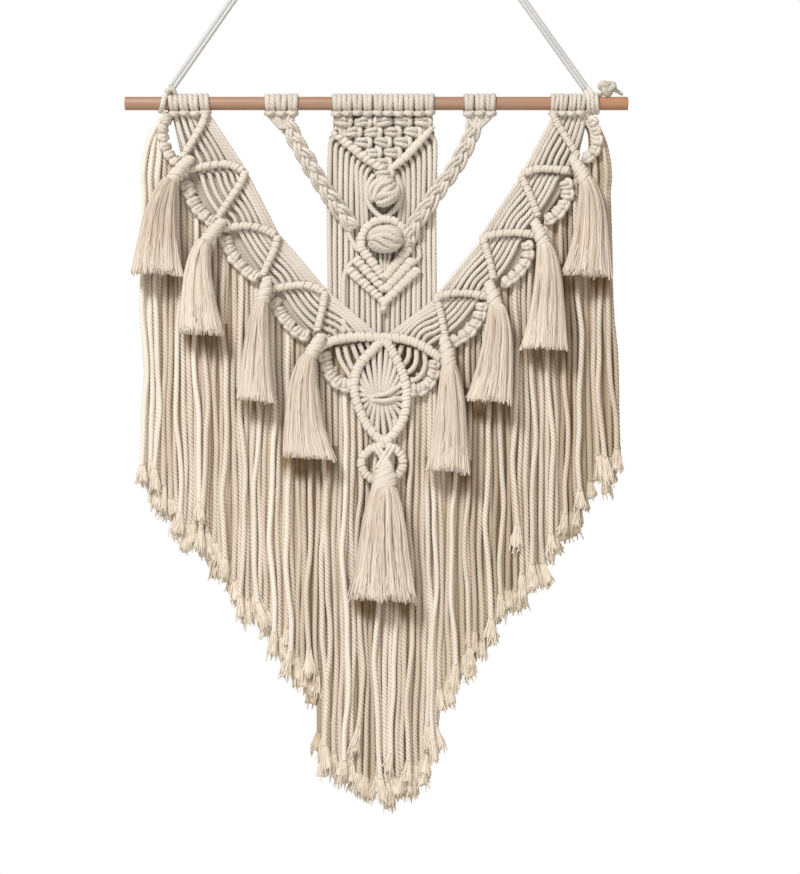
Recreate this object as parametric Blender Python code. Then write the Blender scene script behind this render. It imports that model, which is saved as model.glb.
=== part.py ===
"""Macrame wall hanging on a wooden rod, modelled at its real size.

Units are metres, +Z is up and -Y faces the room. The origin is the hanging point, where the cord passes over
its nail. The tables below give places in millimetres as (x, z) from the middle of the rod's axis, and mm()
turns them into metres. Every soft piece has the closed outer form in which it hangs; its separate turns of
cord are left out.

From the wall forwards the pieces lie in layers: fringe and centre panel, wings and scalloped chains, hitched
bars, tassels. Faces of neighbouring layers keep GAP between them.
"""
import math

import bmesh
import bpy
from mathutils import Vector

MM = 0.001
GAP = 0.3

# ---------------------------------------------------------------- driving dimensions, in millimetres
ROD_LENGTH = 450.0
ROD_RADIUS = 6.0
ROD_CHAMFER = 0.8
ROD_DROP = 266.5          # the rod's axis below the hanging point
HANG_CORD_DIAMETER = 7.2
HANG_BEND_RADIUS = 9.0    # of the cord's centre line over the nail

HEADING_RADIUS = ROD_RADIUS + 2.4
HEADING_GROOVE = 0.8
BAR_WIDTH = 8.0
BAR_DEPTH = 5.8
CHAIN_WIDTH = 8.0
CHAIN_DEPTH = 5.0
CHEVRON_WIDTH = 5.2
CHEVRON_DEPTH = 5.0
RING_WIDTH = 7.0
LOWER_RING_WIDTH = 6.0
STAR_TIE_WIDTH = 9.0
STAR_TIE_DEPTH = 5.0
STAR_REACH = 0.955        # the starburst's rim, as a share of the way to the leaf's frame
BRAID_WIDTH = 15.0
BRAID_DEPTH = 9.0
KNOT_PITCH = 7.4          # from one knot of a chain to the next
PLAIT_PITCH = 17.0        # from one crossing of a braid to the next on the same side

# Steps along a bar's path: plain bars, tighter curves, and the leaf's long sides.
BAR_STEP = 9.0
CURVE_STEP = 8.0
TIGHT_STEP = 7.0
LEAF_STEP = 11.0

# Depths of the layers' faces, as y in millimetres from the rod's axis.
FRINGE_FRONT = -1.0
FRINGE_BACK = 4.0
PANEL_BACK = 2.0
WING_BACK = FRINGE_FRONT - GAP
WING_FRONT = WING_BACK - 3.0
BAR_BACK = WING_FRONT - GAP
BAR_FRONT = BAR_BACK - BAR_DEPTH
TASSEL_BACK = BAR_FRONT - GAP

# ---------------------------------------------------------------- tables, (x, z) in millimetres
# What is knotted on the rod, from x0 to x1, with its number of double loops.
HEADINGS = [
    dict(name="heading_left_wing", x0=-187.0, x1=-150.0, loops=4),
    dict(name="heading_left_braid", x0=-100.0, x1=-70.0, loops=3),
    dict(name="heading_centre", x0=-40.0, x1=52.0, loops=10),
    dict(name="heading_right_braid", x0=78.0, x1=107.0, loops=3),
    dict(name="heading_right_wing", x0=156.0, x1=187.5, loops=4),
]

# A wing, from the rod to the middle: each section has a chain of knots along its outer edge, the two ends of
# its inner edge, and the widest part of the crescent that stays open between the cords and the chain.
WINGS = dict(
    left=[
        dict(chain=[(-186, -11), (-193, -28), (-192, -40), (-185, -50)],
             inner=[(-150, -9), (-127, -49)], crescent=9),
        dict(chain=[(-174, -69), (-168, -84), (-161, -95), (-150, -105)],
             inner=[(-118, -61), (-92, -112)], crescent=4),
        dict(chain=[(-137, -121), (-130, -134), (-121, -145), (-109, -154)],
             inner=[(-88, -119), (-57, -154)], crescent=4),
        dict(chain=[(-91, -177), (-87, -189), (-78, -201), (-64, -210)],
             inner=[(-46, -168), (-6, -205)], crescent=4),
        dict(chain=[(-48, -224), (-46, -236), (-40, -246), (-30, -252)],
             inner=[(-8, -213), (-26, -247)], crescent=1),
    ],
    right=[
        dict(chain=[(191, -11), (197, -28), (197, -41), (188, -51)],
             inner=[(157, -9), (135, -51)], crescent=8.5),
        dict(chain=[(170, -70), (171, -80), (166, -93), (153, -105)],
             inner=[(130, -66), (98, -116)], crescent=3),
        dict(chain=[(135, -126), (136, -137), (131, -149), (115, -161)],
             inner=[(93, -122), (60, -167)], crescent=3),
        dict(chain=[(94, -180), (91, -192), (84, -203), (69, -213)],
             inner=[(55, -174), (13, -205)], crescent=4),
        dict(chain=[(52, -230), (51, -243), (45, -253), (36, -257)],
             inner=[(13, -213), (31, -249)], crescent=1),
    ],
)

WING_GROOVE = 0.8

# The hitched bars zigzag down each wing: one runs outwards to a tassel, and one comes back to the inner edge.
ZIGZAGS = dict(
    left=[
        dict(out=[(-150, -14), (-156, -26), (-164, -39), (-172, -51), (-178, -60)],
             back=[(-179, -60), (-162, -59), (-144, -57), (-127, -59)]),
        dict(out=[(-117, -71), (-126, -83), (-136, -98), (-146, -113)],
             back=[(-147, -114), (-133, -113), (-118, -111), (-100, -113)]),
        dict(out=[(-88, -126), (-94, -139), (-100, -152), (-103, -164)],
             back=[(-104, -165), (-91, -164), (-75, -162), (-56, -165)]),
        dict(out=[(-45, -176), (-48, -187), (-51, -198), (-52, -206)], back=[]),
    ],
    right=[
        dict(out=[(157, -14), (163, -25), (170, -37), (176, -49), (180, -60)],
             back=[(181, -60), (169, -60), (155, -59), (144, -59), (135, -61)]),
        dict(out=[(127, -76), (135, -87), (141, -99), (145, -115)],
             back=[(146, -116), (133, -117), (119, -117), (108, -117), (100, -119)]),
        dict(out=[(91, -131), (98, -143), (102, -156), (105, -170)],
             back=[(106, -170), (93, -171), (79, -171), (68, -171), (61, -173)]),
        dict(out=[(56, -183), (58, -193), (59, -206), (58, -215)], back=[]),
    ],
)
ARCH = [(-57, -223), (-44, -214.5), (-31, -210.5), (-15, -209), (3, -209.5), (18, -210), (32, -213), (46, -220),
        (58, -229)]

# Tassels: the top of the neck, its slant, and the cut end's two corners.
TASSELS = [
    dict(name="tassel_left_1", neck=(-178, -57), left=(-218, -153), right=(-171, -156)),
    dict(name="tassel_left_2", neck=(-146, -110), left=(-175, -208), right=(-135, -209)),
    dict(name="tassel_left_3", neck=(-103, -161), left=(-125, -267), right=(-87, -268)),
    dict(name="tassel_left_4", neck=(-52, -203), left=(-85, -317), right=(-40, -318)),
    dict(name="tassel_right_1", neck=(180, -57), left=(165, -156), right=(209, -158)),
    dict(name="tassel_right_2", neck=(145, -112), left=(127, -221), right=(170, -222)),
    dict(name="tassel_right_3", neck=(105, -167), left=(78, -266), right=(121, -268)),
    dict(name="tassel_right_4", neck=(58, -212), left=(43, -329), right=(84, -331)),
    dict(name="tassel_centre", neck=(6, -325), left=(-25, -444), right=(37, -446)),
]
# A tassel's form: share of its length, half width as share of the cut end's, and half depth in millimetres.
TASSEL_FORM = [
    dict(down=0.00, wide=0.20, deep=3.0),
    dict(down=0.04, wide=0.28, deep=4.5),
    dict(down=0.10, wide=0.30, deep=5.0),
    dict(down=0.15, wide=0.42, deep=6.0),
    dict(down=0.30, wide=0.60, deep=7.0),
    dict(down=0.70, wide=0.85, deep=7.5),
    dict(down=1.00, wide=1.00, deep=7.0),
]

# The centre: net, the bars below it, two berry knots, the ring round the lower one, three chevrons.
NET = [(-37, -8.75), (51, -8.75), (49, -20), (9, -58), (-37, -26)]
NET_ROWS = [
    dict(z=-16, first_x=-21, holes=4),
    dict(z=-26, first_x=-12, holes=3),
    dict(z=-36, first_x=-3.5, holes=2),
    dict(z=-45, first_x=5.5, holes=1),
]
NET_HOLE_PITCH = 17.8
NET_HOLE_SIZE = (2.6, 6.0)
NET_EDGE = [(-39, -27), (-24, -38), (-7, -51), (8, -60), (12, -60), (26, -48), (38, -35), (50, -22)]
PANEL_SPLIT_X = 8.0
PANEL_BOTTOM = -209.0
PANEL_GROOVE = 0.7
PANELS = [
    dict(name="panel_left", outer=[(-41, -33), (-44, -110), (-44, -209)], inner_x=PANEL_SPLIT_X - GAP / 2),
    dict(name="panel_right", outer=[(54, -31), (54, -110), (53, -209)], inner_x=PANEL_SPLIT_X + GAP / 2),
]
BERRIES = [
    dict(name="berry_upper", at=(7, -79), size=(25, 26), deep=16),
    dict(name="berry_lower", at=(8, -122), size=(31, 26), deep=17),
]
RING = [(-17, -130), (-18, -118), (-10, -109.5), (7, -104.5), (24, -109), (32, -118), (31, -130)]
CHEVRONS = [
    dict(name="chevron_1", arms=[(-17, -136), (8, -162), (30, -137)]),
    dict(name="chevron_2", arms=[(-21, -143), (8, -170.5), (34, -144)]),
    dict(name="chevron_3", arms=[(-24, -151), (8, -179), (36, -152)]),
]
BRAIDS = [
    dict(name="braid_left",
         path=[(-84, -9), (-80, -17), (-72, -33), (-61, -51), (-51, -68), (-39, -86), (-28, -102), (-20, -112)]),
    dict(name="braid_right",
         path=[(91, -9), (88, -18), (84, -31), (76, -47), (65, -65), (53, -81), (42, -97), (34, -107)]),
]

# The leaf below the arch, its starburst of cords, and the ring below it.
LEAF = [(3, -218), (-13, -231), (-21, -246), (-21, -262), (-12, -281), (8, -301), (22, -282), (28, -266),
        (27, -249), (19, -232)]
STAR_HEART = (6, -262)
STAR_TIE = [(-11, -263), (6, -262), (20, -260)]
LOWER_RING = [(7, -305.2), (-10, -313), (-13, -325), (-4, -336), (12, -337), (23, -326), (21, -313)]

# The fringe: three combs. The top edges lie behind the wings, the cut ends follow the stepped lower outline.
FRINGE_TOPS = [
    (-176, -58), (-165, -68), (-152, -86), (-138, -104), (-125, -120), (-113, -135), (-98, -152),
    (-82, -175), (-70, -191), (-56, -203), (-46, -209.5), (55, -209.5), (62, -204), (77, -191),
    (92, -168), (113, -140), (125, -118), (146, -95), (160, -72), (172, -58),
]
FRINGE_ENDS = [
    (-209, -340), (-198, -352), (-185, -385), (-170, -400), (-150, -412), (-130, -440),
    (-122, -458), (-106, -467), (-88, -495), (-73, -516), (-62, -532), (-51, -545), (-41, -600),
    (-28, -610), (-10, -622), (8, -628), (25, -625), (40, -608), (50, -580), (59, -552),
    (68, -525), (82, -505), (94, -498), (106, -475), (124, -452), (144, -440), (157, -408),
    (170, -398), (181, -380), (191, -358), (208, -341), (218, -330),
]
COMBS = [
    dict(name="fringe_left", x0=-209.5, x1=-46.0, teeth=14, strands=3, lean=0.0),
    dict(name="fringe_centre", x0=-45.6, x1=49.6, teeth=8, strands=0, lean=0.0),
    dict(name="fringe_right", x0=50.0, x1=209.5, teeth=14, strands=3, lean=8.5),
]
# Outer strands arch down from the headings: depth, outer edge and inner edge, as distances from the middle.
OUTER_STRANDS = [
    dict(z=-8.75, outer=187.0, inner=181.0),
    dict(z=-22.0, outer=197.5, inner=190.0),
    dict(z=-33.0, outer=203.0, inner=191.5),
    dict(z=-46.0, outer=206.5, inner=191.0),
    dict(z=-64.0, outer=208.5, inner=185.0),
]
STRANDS_JOIN_Z = -90.0
SLOT_WIDTH = 1.6
SLOT_START = 0.5

# The hanging cord's two ends and its bend, and the cord that ties it to the rod on each side.
HANG_LEFT = (-183.5, 13.7)
HANG_RIGHT = (187.4, 13.1)
TIE_RADIUS = 2.2
TIE_START = math.radians(45)   # round the rod from its top, towards the room
TIES = [
    dict(name="tie_left", end=HANG_LEFT, turns=0.86, x0=-190.0, x1=-194.5, tail=[]),
    dict(name="tie_right", end=HANG_RIGHT, turns=1.8, x0=191.0, x1=199.5,
         tail=[(201.0, 2.0, 11.6, 3.0), (204.5, 2.0, 14.0, 6.0), (210.0, 2.0, 14.2, 7.0),
               (215.0, 2.0, 11.5, 3.6), (219.0, 2.0, 9.4, 1.8)]),
]

COTTON = (0.78, 0.71, 0.60, 1.0)
COTTON_SHADE = (0.66, 0.59, 0.49, 1.0)
BEECH = (0.57, 0.33, 0.22, 1.0)
GREY_CORD = (0.70, 0.69, 0.66, 1.0)


# ---------------------------------------------------------------- points and meshes
def mm(x, y, z):
    """A place in millimetres from the rod's axis, as metres from the hanging point."""
    return Vector((x * MM, y * MM, (z - ROD_DROP) * MM))


def material(name, colour, roughness):
    made = bpy.data.materials.get(name) or bpy.data.materials.new(name)
    made.use_nodes = True
    shader = made.node_tree.nodes["Principled BSDF"]
    shader.inputs["Base Color"].default_value = colour
    shader.inputs["Roughness"].default_value = roughness
    shader.inputs["Metallic"].default_value = 0.0
    return made


def solid(name, points, faces, finish="cotton", colour=COTTON, roughness=0.9, helper=False):
    """One closed mesh with its faces pointing out; a helper is a cutter or an added arm and isn't a piece."""
    mesh = bpy.data.meshes.new(name)
    mesh.from_pydata([mm(*p) for p in points], [], faces)
    work = bmesh.new()
    work.from_mesh(mesh)
    bmesh.ops.recalc_face_normals(work, faces=work.faces)
    work.to_mesh(mesh)
    work.free()
    mesh.materials.append(material(f"{name}_{finish}", colour, roughness))
    made = bpy.data.objects.new(name, mesh)
    bpy.context.collection.objects.link(made)
    made.hide_render = helper
    if helper:
        made.display_type = "WIRE"
    return made


def combine(target, helper, operation):
    cut = target.modifiers.new(operation.lower(), "BOOLEAN")
    cut.object = helper
    cut.operation = operation
    cut.solver = "EXACT"


def rounded(points, closed=False, step=BAR_STEP):
    """Points at about equal steps along a smooth curve (Catmull-Rom) through the given ones."""
    points = [Vector(p) for p in points]
    count = len(points)
    spans = count if closed else count - 1
    dense = []
    for i in range(spans):
        if closed:
            a, b, c, d = (points[(i + k - 1) % count] for k in range(4))
        else:
            b, c = points[i], points[i + 1]
            a = points[i - 1] if i else b * 2 - c
            d = points[i + 2] if i + 2 < count else c * 2 - b
        for k in range(12):
            t = k / 12
            dense.append(0.5 * (2 * b + (c - a) * t + (2 * a - 5 * b + 4 * c - d) * t ** 2
                                + (3 * b - a - 3 * c + d) * t ** 3))
    dense.append(dense[0] if closed else points[-1])
    length = [0.0]
    for a, b in zip(dense, dense[1:]):
        length.append(length[-1] + (b - a).length)
    pieces = max(2, round(length[-1] / step))
    out, at = [], 0
    for k in range(pieces + (0 if closed else 1)):
        wanted = length[-1] * k / pieces
        while at < len(dense) - 2 and length[at + 1] < wanted:
            at += 1
        share = (wanted - length[at]) / max(length[at + 1] - length[at], 1e-9)
        out.append(dense[at].lerp(dense[at + 1], share))
    return out


def tube(name, rings, closed=False, **kind):
    """A closed solid through rings of points, capped at its two ends or joined end to end."""
    sides = len(rings[0])
    points = [p for ring in rings for p in ring]
    faces = []
    for r in range(len(rings) if closed else len(rings) - 1):
        near, far = r * sides, (r + 1) % len(rings) * sides
        faces += [(near + k, near + (k + 1) % sides, far + (k + 1) % sides, far + k) for k in range(sides)]
    if not closed:
        faces.append(tuple(range(sides - 1, -1, -1)))
        faces.append(tuple(range((len(rings) - 1) * sides, len(rings) * sides)))
    return solid(name, points, faces, **kind)


def ribbon(name, path, width, depth, back, sides=6, closed=False, bulge=0.0, pitch=KNOT_PITCH, end_scale=0.7,
           step=BAR_STEP, **kind):
    """A flattened round bar that follows (x, z) points with its back face at one depth.

    Its width swells by the share `bulge` once in each pitch, and its two ends taper to end_scale.
    """
    line = rounded([(x, 0.0, z) for x, z in path], closed, step)
    last = len(line) - 1
    rings, run = [], 0.0
    for i, here in enumerate(line):
        after = line[(i + 1) % len(line)] if closed or i < last else here
        before = line[i - 1] if closed or i else here
        along = (after - before).normalized()
        across = Vector((along.z, 0.0, -along.x))
        run += (here - before).length if i else 0.0
        scale = 1.0 + bulge * math.cos(2 * math.pi * run / pitch)
        if not closed and i in (0, last):
            scale *= end_scale
        half_wide = width / 2 * scale
        half_deep = depth / 2 * min(scale, 1.0)
        middle_y = back - half_deep
        ring = []
        for k in range(sides):
            turn = 2 * math.pi * (k + 0.5) / sides
            at = here + across * half_wide * math.cos(turn)
            ring.append((at.x, middle_y + half_deep * math.sin(turn), at.z))
        rings.append(ring)
    return tube(name, rings, closed, **kind)


def sheet(name, front, back, keep, **kind):
    """A closed sheet on two grids of points, with a wall round every cell that isn't kept."""
    rows, columns = len(front), len(front[0])
    points = [p for row in front for p in row] + [p for row in back for p in row]
    behind = rows * columns
    faces = []
    for r in range(rows - 1):
        for c in range(columns - 1):
            if not keep(r, c):
                continue
            a, b = r * columns + c, r * columns + c + 1
            d, e = a + columns, b + columns
            faces += [(a, b, e, d), (behind + d, behind + e, behind + b, behind + a)]
            sides = ((a, b, r - 1, c), (b, e, r, c + 1), (e, d, r + 1, c), (d, a, r, c - 1))
            for near, far, row, column in sides:
                inside = 0 <= row < rows - 1 and 0 <= column < columns - 1
                if not (inside and keep(row, column)):
                    faces.append((far, near, behind + near, behind + far))
    used = sorted({k for face in faces for k in face})
    number = {k: i for i, k in enumerate(used)}
    return solid(name, [points[k] for k in used], [tuple(number[k] for k in face) for face in faces], **kind)


def along_table(table, x):
    """The value at x on the straight lines through (x, value) rows."""
    for (x0, z0), (x1, z1) in zip(table, table[1:]):
        if x <= x1:
            return z0 + (z1 - z0) * max(0.0, (x - x0) / (x1 - x0))
    return table[-1][1]


# ---------------------------------------------------------------- the rod and what is tied to it
def rod():
    """A round wooden rod: a turned profile with a small chamfer at each end."""
    half = ROD_LENGTH / 2
    profile = [(-half, ROD_RADIUS - ROD_CHAMFER), (-half + ROD_CHAMFER, ROD_RADIUS),
               (half - ROD_CHAMFER, ROD_RADIUS), (half, ROD_RADIUS - ROD_CHAMFER)]
    sides = 24
    rings = [[(x, radius * math.cos(2 * math.pi * k / sides), radius * math.sin(2 * math.pi * k / sides))
              for k in range(sides)] for x, radius in profile]
    tube("rod", rings, finish="beech", colour=BEECH, roughness=0.5)


def heading(name, x0, x1, loops):
    """Loops of cord side by side round the rod: a sleeve with one ridge for each double loop."""
    sides = 10
    ridge = [(x0 + (x1 - x0) * k / (2 * loops), HEADING_RADIUS - HEADING_GROOVE * (1 - k % 2))
             for k in range(2 * loops + 1)]
    inner = ROD_RADIUS + GAP
    profile = ridge + [(x1, inner), (x0, inner)]
    # A polygon's flats are nearer the axis than its corners, so the inner one is drawn clear of the rod.
    widen = 1 / math.cos(math.pi / sides)
    rings = []
    for k in range(sides):
        turn = 2 * math.pi * (k + 0.5) / sides
        rings.append([(x, r * (widen if r == inner else 1.0) * math.cos(turn),
                       r * (widen if r == inner else 1.0) * math.sin(turn)) for x, r in profile])
    tube(name, rings, closed=True)


def tie(name, end, turns, x0, x1, tail):
    """The cord's tie: it goes on from the hanging cord's end, round the rod, and may end in a knot on top."""
    circle = ROD_RADIUS + GAP + 0.3 + TIE_RADIUS
    count = max(6, round(11 * turns))
    leg = Vector((end[0], end[1] - ROD_DROP)).normalized()
    line = []
    for past, radius in ((1.3 * GAP, HANG_CORD_DIAMETER * 0.46), (1.5, HANG_CORD_DIAMETER * 0.42)):
        line.append((end[0] + leg.x * past, 0.0, end[1] + leg.y * past, radius))
    for k in range(count + 1):
        turn = TIE_START + 2 * math.pi * turns * k / count
        line.append((x0 + (x1 - x0) * k / count, -circle * math.sin(turn), circle * math.cos(turn), TIE_RADIUS))
    line += list(tail)
    sides, rings = 6, []
    for i, (x, y, z, r) in enumerate(line):
        here = Vector((x, y, z))
        before = Vector(line[max(i - 1, 0)][:3])
        after = Vector(line[min(i + 1, len(line) - 1)][:3])
        along = (after - before).normalized()
        outwards = Vector((0.0, y, z)).normalized()
        side = along.cross(outwards).normalized()
        up = side.cross(along)
        rings.append([tuple(here + r * (math.cos(2 * math.pi * k / sides) * side
                                        + math.sin(2 * math.pi * k / sides) * up)) for k in range(sides)])
    tube(name, rings, colour=GREY_CORD)


def hanging_cord():
    """The cord from one tie over the nail to the other: two straight legs and a round bend."""
    top = HANG_CORD_DIAMETER / 2 + ROD_DROP
    left, right = Vector((HANG_LEFT[0], HANG_LEFT[1])), Vector((HANG_RIGHT[0], HANG_RIGHT[1]))
    centre = Vector((0.0, top - HANG_BEND_RADIUS))
    touch = []
    for end, side in ((left, 1), (right, -1)):
        away = end - centre
        swing = math.acos(HANG_BEND_RADIUS / away.length)
        turn = math.atan2(away.y, away.x) - side * swing
        touch.append(turn)
    leg_points, bend_points = 16, 8
    arc_from, arc_to = touch[0] % (2 * math.pi), touch[1]
    arc = [centre + HANG_BEND_RADIUS * Vector((math.cos(a), math.sin(a))) for a in
           (arc_from + (arc_to - arc_from) * k / bend_points for k in range(bend_points + 1))]
    line = [left.lerp(arc[0], k / leg_points) for k in range(leg_points)] + arc
    line += [arc[-1].lerp(right, (k + 1) / leg_points) for k in range(leg_points)]
    curve = bpy.data.curves.new("hanging_cord", "CURVE")
    curve.dimensions = "3D"
    curve.resolution_u = 1
    curve.bevel_depth = HANG_CORD_DIAMETER / 2 * MM
    curve.bevel_resolution = 2
    curve.use_fill_caps = True
    spline = curve.splines.new("POLY")
    spline.points.add(len(line) - 1)
    for point, (x, z) in zip(spline.points, line):
        point.co = (*mm(x, 0.0, z), 1.0)
    curve.materials.append(material("hanging_cord_cotton", GREY_CORD, 0.9))
    bpy.context.collection.objects.link(bpy.data.objects.new("hanging_cord", curve))


# ---------------------------------------------------------------- wings, bars and chains
def inwards(path, inner):
    """For each point of a chain, the direction across it towards the wing's inner edge."""
    line = [Vector(p) for p in path]
    aim = (Vector(inner[0]) + Vector(inner[1])) / 2
    out = []
    for i, here in enumerate(line):
        along = (line[min(i + 1, len(line) - 1)] - line[max(i - 1, 0)]).normalized()
        across = Vector((along.y, -along.x))
        out.append(across if across.dot(aim - here) > 0 else -across)
    return out


def wing(name, sections):
    """A sheet of cords lofted from the inner edge to the chains, with a ridge for every second cord.

    Its outer edge keeps clear of each chain by half the chain, the gap and the open crescent.
    """
    columns = 6
    front, back = [], []
    for section in sections:
        chain = rounded([(x, z) for x, z in section["chain"]], step=1.5 * KNOT_PITCH)
        across = inwards(chain, section["inner"])
        start, end = (Vector(p) for p in section["inner"])
        for i, (here, way) in enumerate(zip(chain, across)):
            share = i / (len(chain) - 1)
            clear = CHAIN_WIDTH / 2 * 1.15 + GAP + section["crescent"] * math.sin(math.pi * share)
            outer, inner = here + way * clear, start.lerp(end, share)
            row = [inner.lerp(outer, c / columns) for c in range(columns + 1)]
            front.append([(p.x, WING_FRONT + WING_GROOVE * (1 - c % 2), p.y) for c, p in enumerate(row)])
            back.append([(p.x, WING_BACK, p.y) for p in row])
    sheet(name, front, back, lambda r, c: True)


def zigzag(name, out, back):
    """A hitched bar out to its tassel, joined to the one that comes back from it."""
    made = ribbon(name, out, BAR_WIDTH, BAR_DEPTH, BAR_BACK, end_scale=1.0)
    if back:
        arm = ribbon(f"{name}_arm", back, BAR_WIDTH * 0.97, BAR_DEPTH * 0.96, BAR_BACK - 0.05, helper=True)
        combine(made, arm, "UNION")


def chain(name, path):
    """A chain of knots: a bar that swells at each knot and thins to the wing's thickness at its ends."""
    ribbon(name, path, CHAIN_WIDTH, CHAIN_DEPTH, WING_BACK, bulge=0.1, end_scale=0.55, step=KNOT_PITCH / 2)


def tassel(name, neck, left, right):
    """A bundle of threads: a round wrapped neck that opens to a flattened skirt with a wavy cut end."""
    top, low_left, low_right = Vector(neck), Vector(left), Vector(right)
    foot = (low_left + low_right) / 2
    half = (low_right - low_left).length / 2
    sides, rings = 10, []
    for row in TASSEL_FORM:
        # The bundle leaves its neck straight down and leans to its foot lower on.
        lean = row["down"] ** 1.3
        middle_x = top.x + (foot.x - top.x) * lean
        middle_z = top.y + (foot.y - top.y) * row["down"]
        tilt = math.atan2(low_right.y - low_left.y, low_right.x - low_left.x) * row["down"]
        ring = []
        for k in range(sides):
            turn = 2 * math.pi * (k + 0.5) / sides
            offset = half * row["wide"] * math.cos(turn)
            wave = 2.0 * math.sin(3.0 * turn + 0.5) if row["down"] == 1.0 else 0.0
            ring.append((middle_x + offset * math.cos(tilt), TASSEL_BACK - row["deep"] * (1 - math.sin(turn)),
                         middle_z + offset * math.sin(tilt) + wave))
        rings.append(ring)
    tube(name, rings)


# ---------------------------------------------------------------- the centre
def net():
    """The square-knot net: a plate with its staggered holes."""
    count = len(NET)
    points = [(x, FRINGE_FRONT, z) for x, z in NET] + [(x, PANEL_BACK, z) for x, z in NET]
    faces = [tuple(range(count)), tuple(range(2 * count - 1, count - 1, -1))]
    faces += [(k, (k + 1) % count, count + (k + 1) % count, count + k) for k in range(count)]
    made = solid("net", points, faces)
    wide, high = NET_HOLE_SIZE
    for r, row in enumerate(NET_ROWS):
        for k in range(row["holes"]):
            x = row["first_x"] + k * NET_HOLE_PITCH
            corners = ((-1, 0), (0, -1), (1, 0), (0, 1))
            rings = [[(x + dx * wide / 2, y, row["z"] + dz * high / 2) for dx, dz in corners]
                     for y in (FRINGE_FRONT - 1, PANEL_BACK + 1)]
            combine(made, tube(f"net_hole_{r}_{k}", rings, helper=True), "DIFFERENCE")


def panel(name, outer, inner_x):
    """Hanging cords below the net's edge: a sheet from the centre line out, ridged for every second cord.

    Its top follows the net's edge bar from below.
    """
    columns, rows = 8, 4
    edge = sorted((x, z - BAR_WIDTH * 0.2) for x, z in NET_EDGE)
    side = sorted((-z, x) for x, z in outer)
    front, back = [], []
    for r in range(rows + 1):
        line = []
        for c in range(columns + 1):
            share = c / columns
            top_x = inner_x + (outer[0][0] - inner_x) * share
            top_z = min(along_table(edge, top_x), -14.0)
            z = top_z + (PANEL_BOTTOM - top_z) * r / rows
            outer_x = along_table(side, -z)
            x = inner_x + (outer_x - inner_x) * share
            line.append((x, z))
        front.append([(x, FRINGE_FRONT + PANEL_GROOVE * (c % 2), z) for c, (x, z) in enumerate(line)])
        back.append([(x, PANEL_BACK, z) for x, z in line])
    sheet(name, front, back, lambda r, c: True)


def berry(name, at, size, deep):
    """A berry knot: a rounded knob that stands out of the panel."""
    turns, levels = 12, 6
    middle_y = FRINGE_FRONT - GAP - deep / 2
    rings = []
    for level in range(1, levels):
        angle = math.pi * level / levels
        rings.append([(at[0] + size[0] / 2 * math.sin(angle) * math.cos(2 * math.pi * k / turns),
                       middle_y + deep / 2 * math.sin(angle) * math.sin(2 * math.pi * k / turns),
                       at[1] + size[1] / 2 * math.cos(angle)) for k in range(turns)])
    tube(name, rings)


def braid(name, path):
    """A plait of three strands: a flat bar whose sides swell at each crossing, in front of the panel lower down."""
    line = rounded([(x, 0.0, z) for x, z in path], step=PLAIT_PITCH / 4)
    last, rings, sides = len(line) - 1, [], 6
    for i, here in enumerate(line):
        along = (line[min(i + 1, last)] - line[max(i - 1, 0)]).normalized()
        across = Vector((along.z, 0.0, -along.x))
        share = i / last
        middle_y = -(BRAID_DEPTH / 2 + GAP - FRINGE_FRONT) * min(1.0, 2.2 * share)
        sway = 0.9 * math.sin(math.pi * i / 2)
        scale = 0.8 if i in (0, last) else 1.0
        ring = []
        for k in range(sides):
            turn = 2 * math.pi * (k + 0.5) / sides
            at = here + across * (sway + BRAID_WIDTH / 2 * scale * math.cos(turn))
            ring.append((at.x, middle_y + BRAID_DEPTH / 2 * scale * math.sin(turn), at.z))
        if i == 0:
            ring = [(x, y, -HEADING_RADIUS - GAP - 0.05) for x, y, z in ring]
        rings.append(ring)
    tube(name, rings)


def star():
    """The starburst: cords that spread from its heart to the leaf's frame, as a ridged low cone."""
    frame = rounded([(x, z) for x, z in LEAF], closed=True)
    heart = Vector(STAR_HEART)
    rim = [heart.lerp(p, STAR_REACH) for p in frame]
    count = len(rim)
    points = [(p.x, WING_FRONT + 0.9 * (k % 2), p.y) for k, p in enumerate(rim)]
    points += [(p.x, WING_BACK, p.y) for p in rim]
    points += [(heart.x, WING_FRONT, heart.y), (heart.x, WING_BACK, heart.y)]
    faces = []
    for k in range(count):
        n = (k + 1) % count
        faces += [(k, n, 2 * count), (count + n, count + k, 2 * count + 1), (n, k, count + k, count + n)]
    solid("star", points, faces)


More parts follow.
